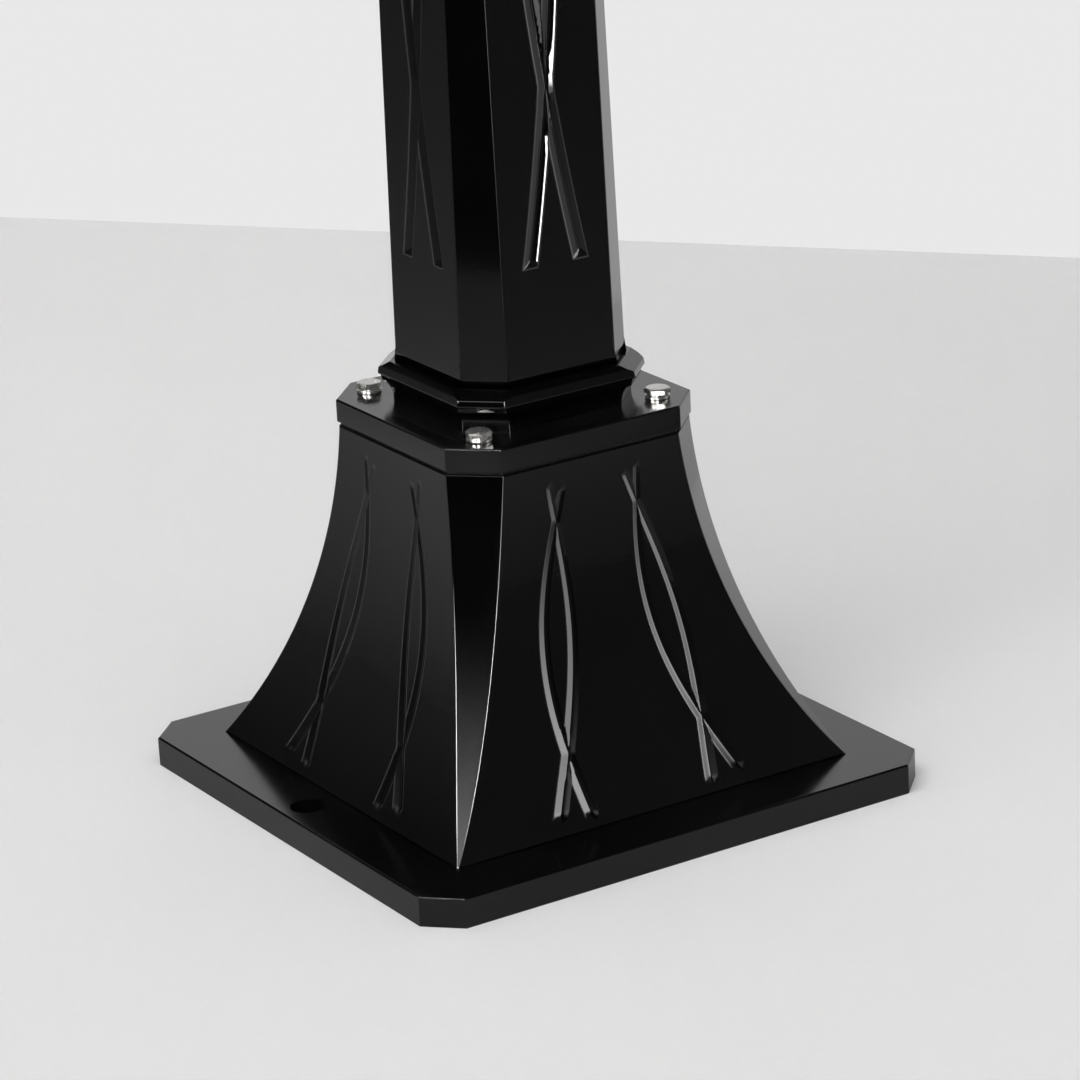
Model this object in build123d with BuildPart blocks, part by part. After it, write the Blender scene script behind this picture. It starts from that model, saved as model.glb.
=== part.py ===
"""Lawn light: a flared foot, a tapered post with crossing grooves and a lantern head with a lift-off roof."""
import os
from math import cos, radians, sin, sqrt

from build123d import *

os.makedirs("parts", exist_ok=True)

# Fits, in millimetres like every size below
thread_clearance = 0.05
screw_clearance = 0.3
seat_clearance = 0.3

# Base plate
plate_side = 200
plate_thickness = 10.5
plate_corner = 11
plate_edge = 0.8
anchor_inset = 10
anchor_hole = 12
cable_hole = 30

# Cable grommet
grommet_bore = 16
grommet_lip = 3
grommet_lip_height = 3

# Pedestal
foot_side = 157.3
foot_corner = 0.4
pedestal_height = 118.35
pedestal_top_corner = 13.9
side_hollow = 0.263
corner_hollow = 0.28
pedestal_wall = 4
deck_thickness = 8
deck_opening = 56
deck_boss = 12
deck_boss_height = 10
foot_boss = 18
foot_boss_height = 16

# Screws that hold the pedestal on the plate
foot_screw_inset = 18.25
foot_screw = 6
foot_screw_head = 12
foot_screw_head_height = 3
foot_screw_grip = 12

# Crossing grooves of the pedestal
pedestal_groove_width = 4.2
pedestal_groove_depth = 0.8
groove_pair_top = 14.6
groove_pair_middle = 21.2
groove_pair_foot = 30.1
groove_spread_top = 2.95
groove_spread_middle = 5.45
groove_spread_foot = 5.5
groove_end_margin = 7.2
groove_middle_share = 0.523

# Gasket, flange and flange bolts
gasket_inset = 1.25
gasket_thickness = 1.2
flange_side = 97.7
flange_overhang = 0.25
flange_thickness = 8
flange_corner = 13.3
flange_edge = 0.7
flange_cable_hole = 20
bolt_inset = 13.35
bolt = 5
bolt_head = 8
bolt_head_height = 2.3
bolt_head_edge = 0.35
bolt_grip = 13
washer_side = 8.6
washer_thickness = 1.2
washer_slit = 0.7

# Collar
collar_height = 14.1
collar_neck_side = 67.4
collar_side = 74.5
collar_corner = 11.5
collar_cove_height = 9.15
collar_band_height = 2.7
collar_band_lean = 0.35
collar_ledge = 2.84
collar_corner_ledge = 1.6

# Post
post_foot_side = 65.12
post_foot_corner = 11.39
post_height = 432.85
post_top_side = 51.5
post_top_corner = 5.2
post_wall = 3.5
post_foot_web = 14
post_top_web = 8
post_screw_inset = 16.56
post_screw = 6
post_screw_head = 10
post_screw_head_height = 4
post_screw_grip = 11

# Crossing grooves of the post
post_groove_width = 5.7
post_groove_depth = 0.9
post_groove_end = 9.7
post_groove_bow = 9.1
post_groove_foot_margin = 40.15
post_groove_top_margin = 5

# Terminal block inside the pedestal
bracket_width = 18
bracket_sheet = 2
bracket_offset = 6
bracket_tab = 17
bracket_drop = 46
bracket_screw = 4
bracket_screw_head = 7
bracket_screw_head_height = 2.5
bracket_screw_grip = 6
bracket_screw_spacing = 8
block_depth = 14
block_height = 24
block_drop = 22
block_lead_depth = 8
block_wire_hole = 4
block_screw = 3
block_screw_head = 5.5
block_screw_head_height = 2
block_screw_grip = 7
block_screw_spacing = 10
lead = 6

# Capital under the lantern
capital_height = 15
capital_overhang = 2.5
capital_side = 68
capital_corner = 8
capital_band_height = 4

# Hollow nipple through the head
nipple = 10
nipple_bore = 7
nipple_nut = 17
nipple_nut_height = 5
nipple_tail = 12

# Lantern pan
pan_height = 40
pan_foot_side = 60
pan_foot_corner = 6
pan_side = 104
pan_corner = 8
pan_rim = 3
pan_rim_height = 6
pan_floor = 6
pan_hollow_side = 48

# Lantern frame
frame_height = 95
frame_foot_side = 104
frame_top_side = 134
frame_corner = 9
frame_foot_wall = 6
frame_top_wall = 6
frame_inner_corner = 2
frame_band_height = 12
frame_ledge = 13
frame_ledge_height = 3
window_sill = 10
window_head = 2
window_foot_side = 72
window_top_side = 94
frame_screw = 4
frame_screw_head = 7
frame_screw_head_height = 2.6
frame_screw_grip = 8

# Opal panels and their retainer
panel_thickness = 3
retainer_thickness = 2
retainer_opening = 108
retainer_screw = 3
retainer_screw_head = 5.2
retainer_screw_head_height = 1.2
retainer_screw_grip = 8

# Lamp holder
holder_lift = 44
holder_side = 40
holder_height = 38
holder_base = 10
holder_edge = 2
holder_thread_depth = 6
shell_thickness = 0.6
shell_height = 24
contact_side = 8
contact_height = 2

# Bulb
bulb_cap_side = 26.4
bulb_cap_length = 25.3
bulb_tip_side = 9
bulb_tip_height = 1
bulb_clearance = 0.08
bulb_cone_height = 18
bulb_globe_side = 45
bulb_globe_lift = 4

# Roof
seal_thickness = 2
seal_width = 6
eaves_side = 164
eaves_corner = 12
eaves_height = 5
eaves_slope = 2.5
eaves_inset = 3
roof_height = 38
roof_top_side = 24
roof_top_corner = 6
roof_hollow_share = 0.35
roof_top_wall = 7
skirt_gap = 1
skirt_wall = 8.5
skirt_height = 12
reflector_side = 119
reflector_thickness = 1
reflector_recess = 3
reflector_ledge = 6
reflector_screw = 3
reflector_screw_head = 5
reflector_screw_head_height = 1.6
reflector_screw_grip = 5

# Finial
finial_height = 23
finial_base_side = 22
finial_base_height = 2.5
finial_neck_side = 8
finial_ball_side = 15
finial_stud = 6
finial_nut = 10
finial_nut_height = 5

# Thumb screws
thumb_screw = 5
thumb_drop = 3.5
thumb_gap = 0.1
thumb_knob_side = 14
thumb_knob_length = 7
thumb_knob_gap = 0.5
thumb_flute = 3
thumb_flutes = 12

# Pedestal top and gasket, which lie under the flange
pedestal_top_side = flange_side - 2 * flange_overhang
gasket_side = flange_side - 2 * gasket_inset

# Hole patterns, set in from the sides that they belong to
anchor_spacing = plate_side - 2 * anchor_inset
foot_screw_spacing = foot_side - 2 * foot_screw_inset
bolt_spacing = flange_side - 2 * bolt_inset
post_screw_spacing = post_foot_side - 2 * post_screw_inset

# Levels above the ground
pedestal_top = plate_thickness + pedestal_height
deck_bottom = pedestal_top - deck_thickness
gasket_top = pedestal_top + gasket_thickness
flange_top = gasket_top + flange_thickness
collar_top = flange_top + collar_height
post_top = collar_top + post_height
capital_top = post_top + capital_height
pan_top = capital_top + pan_height
frame_top = pan_top + frame_height
retainer_top = frame_top + retainer_thickness
eaves_bottom = retainer_top + seal_thickness
roof_top = eaves_bottom + roof_height
finial_top = roof_top + finial_height


def upright_plane(angle):
    """Plane through the post's axis, turned about it, with its second axis up."""
    turn = radians(angle)
    return Plane(origin=(0, 0, 0), x_dir=(cos(turn), sin(turn), 0), z_dir=(sin(turn), -cos(turn), 0))


def across_corner(side, corner):
    """Distance from the axis to the cut corner of a square."""
    return (side - corner) / sqrt(2)


def squared_block(side_line, corner_line, reach):
    """Block with one outline on its four faces and another on its four cut corners."""
    outlines = (
        (0, side_line, Mode.ADD),
        (90, side_line, Mode.INTERSECT),
        (45, corner_line, Mode.INTERSECT),
        (135, corner_line, Mode.INTERSECT),
    )
    with BuildPart() as block:
        for angle, line, mode in outlines:
            with BuildSketch(upright_plane(angle)):
                with BuildLine():
                    add(line)
                    mirror(about=Plane.YZ)
                    start = line @ 0
                    end = line @ 1
                    Line(start, (-start.X, start.Y))
                    Line(end, (-end.X, end.Y))
                make_face()
            extrude(amount=reach, both=True, mode=mode)
    return block.part


def octagon(side, corner, level):
    """Square with cut corners at one level."""
    with BuildSketch(Plane.XY.offset(level)) as outline:
        Rectangle(side, side)
        chamfer(outline.vertices(), length=corner)
    return outline.sketch


def inset_corner(corner, wall):
    """Corner cut of a square drawn one wall thickness inside another."""
    return corner - wall * (2 - sqrt(2))


def flare(inset):
    """Outline of the pedestal, moved in by an inset."""
    foot = foot_side / 2 - inset
    top = pedestal_top_side / 2 - inset
    foot_across = across_corner(foot_side, foot_corner) - inset
    top_across = across_corner(pedestal_top_side, pedestal_top_corner) - inset
    middle_half = top + (foot - top) * side_hollow
    middle_across = top_across + (foot_across - top_across) * corner_hollow
    middle = (plate_thickness + pedestal_top) / 2
    with BuildLine() as side_line:
        ThreePointArc((top, pedestal_top), (middle_half, middle), (foot, plate_thickness))
    with BuildLine() as corner_line:
        ThreePointArc((top_across, pedestal_top), (middle_across, middle), (foot_across, plate_thickness))
    return squared_block(side_line.line, corner_line.line, foot_side)


def groove_prisms(strips, width, reach):
    """Curved strips, each given by three points, pushed through the body from face to face."""
    with BuildPart() as prisms:
        for angle in (0, 90):
            with BuildSketch(upright_plane(angle)):
                for first, second, third in strips:
                    with BuildLine(mode=Mode.PRIVATE) as centre:
                        ThreePointArc(first, second, third)
                    SlotArc(centre.edge(), width)
            extrude(amount=reach, both=True)
    return prisms.part


# Base plate: a square plate with cut corners, an anchor hole on each side and a cable hole
foot_hole = foot_screw + 2 * screw_clearance
with BuildPart() as base_plate:
    extrude(octagon(plate_side, plate_corner, 0), amount=plate_thickness)
    fillet(base_plate.faces().sort_by(Axis.Z)[-1].edges(), plate_edge)
    with BuildSketch(Plane.XY):
        with GridLocations(anchor_spacing, 0, 2, 1):
            Circle(anchor_hole / 2)
        with GridLocations(foot_screw_spacing, foot_screw_spacing, 2, 2):
            Circle(foot_hole / 2)
        Circle(cable_hole / 2)
    extrude(amount=plate_thickness, mode=Mode.SUBTRACT)
    with GridLocations(foot_screw_spacing, foot_screw_spacing, 2, 2):
        Cone(
            foot_screw_head / 2 + 2 * screw_clearance,
            foot_hole / 2,
            foot_screw_head_height + screw_clearance,
            align=(Align.CENTER, Align.CENTER, Align.MIN),
            mode=Mode.SUBTRACT,
        )
base_plate.part.label = "base_plate"
export_step(base_plate.part, "parts/base_plate.step")

# Cable grommet: a rubber sleeve in the plate with a lip on top
grommet_top = plate_thickness + grommet_lip_height
with BuildPart() as cable_grommet:
    with BuildSketch(Plane.XY.offset(seat_clearance)):
        Circle(cable_hole / 2 - thread_clearance)
    extrude(amount=grommet_top - seat_clearance)
    with BuildSketch(Plane.XY.offset(plate_thickness)):
        Circle(cable_hole / 2 + grommet_lip)
    extrude(amount=grommet_lip_height)
    with BuildSketch(Plane.XY):
        Circle(grommet_bore / 2)
    extrude(amount=grommet_top, mode=Mode.SUBTRACT)
cable_grommet.part.label = "cable_grommet"
export_step(cable_grommet.part, "parts/cable_grommet.step")

# Pedestal: a hollow flared casting with two pairs of crossing grooves on each face
groove_top = pedestal_top - groove_end_margin
groove_foot = plate_thickness + groove_end_margin
groove_middle = groove_foot + (groove_top - groove_foot) * groove_middle_share
pedestal_strips = []
for hand in (-1, 1):
    for lean in (-1, 1):
        pedestal_strips.append((
            (hand * (groove_pair_top + lean * groove_spread_top), groove_top),
            (hand * (groove_pair_middle - lean * groove_spread_middle), groove_middle),
            (hand * (groove_pair_foot + lean * groove_spread_foot), groove_foot),
        ))
with BuildPart() as pedestal_grooves:
    add(groove_prisms(pedestal_strips, pedestal_groove_width, foot_side))
    add(flare(pedestal_groove_depth), mode=Mode.SUBTRACT)
with BuildPart() as pedestal_hollow:
    add(flare(pedestal_wall))
    with BuildSketch(Plane.XY.offset(deck_bottom)):
        Rectangle(foot_side, foot_side)
    extrude(amount=pedestal_height, mode=Mode.SUBTRACT)
    with BuildSketch(Plane.XY.offset(plate_thickness)):
        with GridLocations(foot_screw_spacing, foot_screw_spacing, 2, 2):
            Circle(foot_boss / 2)
    extrude(amount=foot_boss_height, mode=Mode.SUBTRACT)
    with BuildSketch(Plane.XY.offset(deck_bottom)):
        with GridLocations(bolt_spacing, bolt_spacing, 2, 2):
            Circle(deck_boss / 2)
    extrude(amount=-deck_boss_height, mode=Mode.SUBTRACT)
with BuildPart() as pedestal:
    add(flare(0))
    add(pedestal_grooves.part, mode=Mode.SUBTRACT)
    add(pedestal_hollow.part, mode=Mode.SUBTRACT)
    with BuildSketch(Plane.XY.offset(pedestal_top)):
        Circle(deck_opening / 2)
    extrude(amount=-deck_thickness, mode=Mode.SUBTRACT)
    with BuildSketch(Plane.XY.offset(pedestal_top)):
        with GridLocations(bolt_spacing, bolt_spacing, 2, 2):
            Circle(bolt / 2 + thread_clearance)
    extrude(amount=-(deck_thickness + deck_boss_height), mode=Mode.SUBTRACT)
    with BuildSketch(Plane.XY.offset(plate_thickness)):
        with GridLocations(foot_screw_spacing, foot_screw_spacing, 2, 2):
            Circle(foot_screw / 2 + thread_clearance)
    extrude(amount=foot_screw_grip + screw_clearance, mode=Mode.SUBTRACT)
pedestal.part.label = "pedestal"
export_step(pedestal.part, "parts/pedestal.step")

# Pedestal screws: countersunk screws up through the plate
with BuildPart() as pedestal_screws:
    with Locations((0, 0, screw_clearance)):
        with GridLocations(foot_screw_spacing, foot_screw_spacing, 2, 2):
            Cone(
                foot_screw_head / 2,
                foot_screw / 2,
                foot_screw_head_height,
                align=(Align.CENTER, Align.CENTER, Align.MIN),
            )
    with BuildSketch(Plane.XY.offset(screw_clearance)):
        with GridLocations(foot_screw_spacing, foot_screw_spacing, 2, 2):
            Circle(foot_screw / 2)
    extrude(amount=plate_thickness + foot_screw_grip - screw_clearance)
pedestal_screws.part.label = "pedestal_screws"
export_step(pedestal_screws.part, "parts/pedestal_screws.step")

# Flange gasket: a thin rubber sheet, a little smaller than the flange, which shows as a dark seam
bolt_hole = bolt + 2 * screw_clearance
with BuildPart() as flange_gasket:
    extrude(octagon(gasket_side, flange_corner, pedestal_top), amount=gasket_thickness)
    with BuildSketch(Plane.XY.offset(pedestal_top)):
        Circle(deck_opening / 2)
        with GridLocations(bolt_spacing, bolt_spacing, 2, 2):
            Circle(bolt_hole / 2)
    extrude(amount=gasket_thickness, mode=Mode.SUBTRACT)
flange_gasket.part.label = "flange_gasket"
export_step(flange_gasket.part, "parts/flange_gasket.step")

# Foot flange: the plate that the post stands on, bolted to the pedestal
bracket_screw_near = bracket_offset + bracket_sheet + bracket_screw_head / 2 + screw_clearance
bracket_screw_far = bracket_screw_near + bracket_screw_spacing
post_screw_hole = post_screw + 2 * screw_clearance
with BuildPart() as foot_flange:
    extrude(octagon(flange_side, flange_corner, gasket_top), amount=flange_thickness)
    fillet(foot_flange.faces().sort_by(Axis.Z)[-1].edges(), flange_edge)
    with BuildSketch(Plane.XY.offset(gasket_top)):
        with GridLocations(bolt_spacing, bolt_spacing, 2, 2):
            Circle(bolt_hole / 2)
        with GridLocations(post_screw_spacing, post_screw_spacing, 2, 2):
            Circle(post_screw_hole / 2)
        Circle(flange_cable_hole / 2)
    extrude(amount=flange_thickness, mode=Mode.SUBTRACT)
    with BuildSketch(Plane.XY.offset(gasket_top)):
        with Locations((0, bracket_screw_near), (0, bracket_screw_far)):
            Circle(bracket_screw / 2 + thread_clearance)
    extrude(amount=bracket_screw_grip + screw_clearance, mode=Mode.SUBTRACT)
foot_flange.part.label = "foot_flange"
export_step(foot_flange.part, "parts/foot_flange.step")

# Spring washers: split rings under the bolt heads
washer_top = flange_top + washer_thickness
with BuildPart() as spring_washers:
    with BuildSketch(Plane.XY.offset(flange_top)):
        with GridLocations(bolt_spacing, bolt_spacing, 2, 2):
            Circle(washer_side / 2)
            Circle(bolt_hole / 2, mode=Mode.SUBTRACT)
            with Locations((0, -washer_side / 2)):
                Rectangle(washer_slit, washer_side, mode=Mode.SUBTRACT)
    extrude(amount=washer_thickness)
spring_washers.part.label = "spring_washers"
export_step(spring_washers.part, "parts/spring_washers.step")

# Flange bolts: hexagon heads that stand on the washers
bolt_length = washer_thickness + flange_thickness + gasket_thickness + bolt_grip
with BuildPart() as flange_bolts:
    with BuildSketch(Plane.XY.offset(washer_top)):
        with GridLocations(bolt_spacing, bolt_spacing, 2, 2):
            RegularPolygon(bolt_head / 2, 6, major_radius=False, rotation=30)
    extrude(amount=bolt_head_height)
    chamfer(flange_bolts.edges().group_by(Axis.Z)[-1], bolt_head_edge)
    with BuildSketch(Plane.XY.offset(washer_top)):
        with GridLocations(bolt_spacing, bolt_spacing, 2, 2):
            Circle(bolt / 2)
    extrude(amount=-bolt_length)
flange_bolts.part.label = "flange_bolts"
export_step(flange_bolts.part, "parts/flange_bolts.step")

# Foot collar: a moulding between flange and post, hollowed below a narrow band, with a ledge round the post
cove_top = flange_top + collar_cove_height
band_top = cove_top + collar_band_height
neck = collar_neck_side / 2
band = collar_side / 2
neck_across = across_corner(collar_neck_side, collar_corner)
band_across = across_corner(collar_side, collar_corner)
ledge = post_foot_side / 2 + collar_ledge
ledge_across = across_corner(post_foot_side, post_foot_corner) + collar_corner_ledge
with BuildLine() as collar_side_line:
    TangentArc((neck, flange_top), (band, cove_top), tangent=(0, 1))
    Line((band, cove_top), (band - collar_band_lean, band_top))
    Line((band - collar_band_lean, band_top), (ledge, collar_top))
with BuildLine() as collar_corner_line:
    TangentArc((neck_across, flange_top), (band_across, cove_top), tangent=(0, 1))
    Line((band_across, cove_top), (band_across - collar_band_lean, band_top))
    Line((band_across - collar_band_lean, band_top), (ledge_across, collar_top))
with BuildPart() as foot_collar:
    add(squared_block(collar_side_line.line, collar_corner_line.line, collar_side))
    with BuildSketch(Plane.XY.offset(flange_top)):
        with GridLocations(post_screw_spacing, post_screw_spacing, 2, 2):
            Circle(post_screw_hole / 2)
        Circle(flange_cable_hole / 2)
    extrude(amount=collar_height, mode=Mode.SUBTRACT)
foot_collar.part.label = "foot_collar"
export_step(foot_collar.part, "parts/foot_collar.step")

# Post: a hollow tapered square tube with cut corners and one pair of crossing grooves on each face
post_groove_foot = collar_top + post_groove_foot_margin
post_groove_top = post_top - post_groove_top_margin
post_groove_middle = (post_groove_foot + post_groove_top) / 2
post_strips = []
for hand in (-1, 1):
    post_strips.append((
        (hand * post_groove_end, post_groove_foot),
        (-hand * post_groove_bow, post_groove_middle),
        (hand * post_groove_end, post_groove_top),
    ))
with BuildPart() as post_grooves:
    add(groove_prisms(post_strips, post_groove_width, post_foot_side))
    groove_inset = 2 * post_groove_depth
    loft(
        [
            octagon(post_foot_side - groove_inset, post_foot_corner, collar_top),
            octagon(post_top_side - groove_inset, post_top_corner, post_top),
        ],
        ruled=True,
        mode=Mode.SUBTRACT,
    )
with BuildPart() as post:
    loft(
        [
            octagon(post_foot_side, post_foot_corner, collar_top),
            octagon(post_top_side, post_top_corner, post_top),
        ],
        ruled=True,
    )
    add(post_grooves.part, mode=Mode.SUBTRACT)
    hollow_foot = collar_top + post_foot_web
    hollow_top = post_top - post_top_web
    foot_share = post_foot_web / post_height
    top_share = 1 - post_top_web / post_height
    side_change = post_top_side - post_foot_side
    corner_change = post_top_corner - post_foot_corner
    loft(
        [
            octagon(
                post_foot_side + side_change * foot_share - 2 * post_wall,
                inset_corner(post_foot_corner + corner_change * foot_share, post_wall),
                hollow_foot,
            ),
            octagon(
                post_foot_side + side_change * top_share - 2 * post_wall,
                inset_corner(post_foot_corner + corner_change * top_share, post_wall),
                hollow_top,
            ),
        ],
        ruled=True,
        mode=Mode.SUBTRACT,
    )
    with BuildSketch(Plane.XY.offset(collar_top)):
        with GridLocations(post_screw_spacing, post_screw_spacing, 2, 2):
            Circle(post_screw / 2 + thread_clearance)
        Circle(flange_cable_hole / 2)
    extrude(amount=post_foot_web, mode=Mode.SUBTRACT)
    with BuildSketch(Plane.XY.offset(post_top)):
        Circle(nipple / 2 + screw_clearance)
    extrude(amount=-post_top_web, mode=Mode.SUBTRACT)
post.part.label = "post"
export_step(post.part, "parts/post.step")

# Post screws: round-headed screws up through flange and collar into the post
with BuildPart() as post_screws:
    with BuildSketch(Plane.XY.offset(gasket_top)):
        with GridLocations(post_screw_spacing, post_screw_spacing, 2, 2):
            Circle(post_screw_head / 2)
    extrude(amount=-post_screw_head_height)
    with BuildSketch(Plane.XY.offset(gasket_top)):
        with GridLocations(post_screw_spacing, post_screw_spacing, 2, 2):
            Circle(post_screw / 2)
    extrude(amount=flange_thickness + collar_height + post_screw_grip)
post_screws.part.label = "post_screws"
export_step(post_screws.part, "parts/post_screws.step")

# Terminal bracket: an angle hung under the flange
tab_bottom = gasket_top - bracket_sheet
bracket_back = bracket_offset + bracket_sheet
block_top = gasket_top - block_drop
block_middle = block_top - block_height / 2
with BuildPart() as terminal_bracket:
    with BuildSketch(Plane.YZ):
        with BuildLine():
            Polyline(
                (bracket_offset, gasket_top),
                (bracket_back + bracket_tab, gasket_top),
                (bracket_back + bracket_tab, tab_bottom),
                (bracket_back, tab_bottom),
                (bracket_back, gasket_top - bracket_drop),
                (bracket_offset, gasket_top - bracket_drop),
                close=True,
            )
        make_face()
    extrude(amount=bracket_width / 2, both=True)
    with BuildSketch(Plane.XY.offset(gasket_top)):
        with Locations((0, bracket_screw_near), (0, bracket_screw_far)):
            Circle(bracket_screw / 2 + screw_clearance)
    extrude(amount=-bracket_sheet, mode=Mode.SUBTRACT)
    with BuildSketch(Plane.XZ.offset(-bracket_back)):
        with Locations((0, block_middle)):
            with GridLocations(block_screw_spacing, 0, 2, 1):
                Circle(block_screw / 2 + screw_clearance)
    extrude(amount=bracket_sheet, mode=Mode.SUBTRACT)
terminal_bracket.part.label = "terminal_bracket"
export_step(terminal_bracket.part, "parts/terminal_bracket.step")

# Bracket screws: two screws up into the flange
with BuildPart() as bracket_screws:
    with BuildSketch(Plane.XY.offset(tab_bottom)):
        with Locations((0, bracket_screw_near), (0, bracket_screw_far)):
            Circle(bracket_screw_head / 2)
    extrude(amount=-bracket_screw_head_height)
    with BuildSketch(Plane.XY.offset(tab_bottom)):
        with Locations((0, bracket_screw_near), (0, bracket_screw_far)):
            Circle(bracket_screw / 2)
    extrude(amount=bracket_sheet + bracket_screw_grip)
bracket_screws.part.label = "bracket_screws"
export_step(bracket_screws.part, "parts/bracket_screws.step")

# Terminal block: takes the lead on top and the supply wires underneath
lead_bottom = block_top - block_lead_depth
with BuildPart() as terminal_block:
    with Locations((0, bracket_offset - block_depth / 2, block_middle)):
        Box(bracket_width, block_depth, block_height)
    with BuildSketch(Plane.XY.offset(block_top)):
        Circle(lead / 2 + screw_clearance)
    extrude(amount=-block_lead_depth, mode=Mode.SUBTRACT)
    with BuildSketch(Plane.XY.offset(block_top - block_height)):
        with GridLocations(bracket_width / 3, 0, 3, 1):
            Circle(block_wire_hole / 2)
    extrude(amount=block_lead_depth, mode=Mode.SUBTRACT)
    with BuildSketch(Plane.XZ.offset(-bracket_offset)):
        with Locations((0, block_middle)):
            with GridLocations(block_screw_spacing, 0, 2, 1):
                Circle(block_screw / 2 + thread_clearance)
    extrude(amount=block_screw_grip, mode=Mode.SUBTRACT)
terminal_block.part.label = "terminal_block"
export_step(terminal_block.part, "parts/terminal_block.step")

# Block screws: two small screws through the bracket into the block
with BuildPart() as block_screws:
    with BuildSketch(Plane.XZ.offset(-bracket_back)):
        with Locations((0, block_middle)):
            with GridLocations(block_screw_spacing, 0, 2, 1):
                Circle(block_screw_head / 2)
    extrude(amount=-block_screw_head_height)
    with BuildSketch(Plane.XZ.offset(-bracket_back)):
        with Locations((0, block_middle)):
            with GridLocations(block_screw_spacing, 0, 2, 1):
                Circle(block_screw / 2)
    extrude(amount=bracket_sheet + block_screw_grip - screw_clearance)
block_screws.part.label = "block_screws"
export_step(block_screws.part, "parts/block_screws.step")

# Lamp lead: a sheathed lead straight up the post to the lamp holder
holder_bottom = capital_top + pan_floor + holder_lift
nipple_top = holder_bottom + holder_thread_depth
with BuildPart() as lamp_lead:
    with BuildSketch(Plane.XY.offset(lead_bottom)):
        Circle(lead / 2)
    extrude(amount=nipple_top - lead_bottom)
lamp_lead.part.label = "lamp_lead"
export_step(lamp_lead.part, "parts/lamp_lead.step")

# Capital: a moulding on the post's top, hollowed between two bands
capital_foot_side = post_top_side + 2 * capital_overhang
capital_foot_corner = post_top_corner + capital_overhang
capital_foot = capital_foot_side / 2
capital_half = capital_side / 2
capital_foot_across = across_corner(capital_foot_side, capital_foot_corner)
capital_across = across_corner(capital_side, capital_corner)
lower_band_top = post_top + capital_band_height
upper_band_bottom = capital_top - capital_band_height
with BuildLine() as capital_side_line:
    Line((capital_foot, post_top), (capital_foot, lower_band_top))
    TangentArc((capital_foot, lower_band_top), (capital_half, upper_band_bottom), tangent=(0, 1))
    Line((capital_half, upper_band_bottom), (capital_half, capital_top))
with BuildLine() as capital_corner_line:
    Line((capital_foot_across, post_top), (capital_foot_across, lower_band_top))
    TangentArc((capital_foot_across, lower_band_top), (capital_across, upper_band_bottom), tangent=(0, 1))
    Line((capital_across, upper_band_bottom), (capital_across, capital_top))
with BuildPart() as capital:
    add(squared_block(capital_side_line.line, capital_corner_line.line, capital_side))
    with BuildSketch(Plane.XY.offset(post_top)):
        Circle(nipple / 2 + screw_clearance)
    extrude(amount=capital_height, mode=Mode.SUBTRACT)
capital.part.label = "capital"
export_step(capital.part, "parts/capital.step")

# Lantern pan: the dish under the lantern, open on top, with a ledge for the frame
pan_foot = pan_foot_side / 2
pan_edge = pan_side / 2
pan_foot_across = across_corner(pan_foot_side, pan_foot_corner)
pan_edge_across = across_corner(pan_side, pan_corner)
rim_bottom = pan_top - pan_rim_height
ledge_opening = frame_foot_side - 2 * (frame_foot_wall + frame_ledge)
with BuildLine() as pan_side_line:
    TangentArc((pan_foot, capital_top), (pan_edge, rim_bottom), tangent=(0, 1))
    Line((pan_edge, rim_bottom), (pan_edge + pan_rim, rim_bottom))
    Line((pan_edge + pan_rim, rim_bottom), (pan_edge + pan_rim, pan_top))
with BuildLine() as pan_corner_line:
    TangentArc((pan_foot_across, capital_top), (pan_edge_across, rim_bottom), tangent=(0, 1))
    Line((pan_edge_across, rim_bottom), (pan_edge_across + pan_rim, rim_bottom))
    Line((pan_edge_across + pan_rim, rim_bottom), (pan_edge_across + pan_rim, pan_top))
frame_screw_place = frame_foot_side / 2 - frame_foot_wall - frame_ledge + frame_screw_head / 2 + 1
with BuildPart() as lantern_pan:
    add(squared_block(pan_side_line.line, pan_corner_line.line, pan_side))
    loft(
        [
            octagon(pan_hollow_side, pan_corner, capital_top + pan_floor),
            octagon(ledge_opening, pan_corner, pan_top),
        ],
        ruled=True,
        mode=Mode.SUBTRACT,
    )
    with BuildSketch(Plane.XY.offset(capital_top)):
        Circle(nipple / 2 + screw_clearance)
    extrude(amount=pan_floor, mode=Mode.SUBTRACT)
    with BuildSketch(Plane.XY.offset(pan_top)):
        with PolarLocations(frame_screw_place, 4):
            Circle(frame_screw / 2 + thread_clearance)
    extrude(amount=-(frame_screw_grip + screw_clearance), mode=Mode.SUBTRACT)
lantern_pan.part.label = "lantern_pan"
export_step(lantern_pan.part, "parts/lantern_pan.step")

# Nipple: the hollow threaded tube that ties post, capital, pan and lamp holder together
nipple_bottom = hollow_top - nipple_tail
pan_inside = capital_top + pan_floor
with BuildPart() as head_nipple:
    with BuildSketch(Plane.XY.offset(nipple_bottom)):
        Circle(nipple / 2)
        Circle(nipple_bore / 2, mode=Mode.SUBTRACT)
    extrude(amount=nipple_top - nipple_bottom)
head_nipple.part.label = "head_nipple"
export_step(head_nipple.part, "parts/head_nipple.step")

# Nipple nuts: under the post's top, on the pan's floor and under the lamp holder
nut_levels = (hollow_top - nipple_nut_height, pan_inside, holder_bottom - nipple_nut_height)
with BuildPart() as nipple_nuts:
    for level in nut_levels:
        with BuildSketch(Plane.XY.offset(level)):
            RegularPolygon(nipple_nut / 2, 6, major_radius=False)
            Circle(nipple / 2 + thread_clearance, mode=Mode.SUBTRACT)
        extrude(amount=nipple_nut_height)
nipple_nuts.part.label = "nipple_nuts"
export_step(nipple_nuts.part, "parts/nipple_nuts.step")

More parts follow.
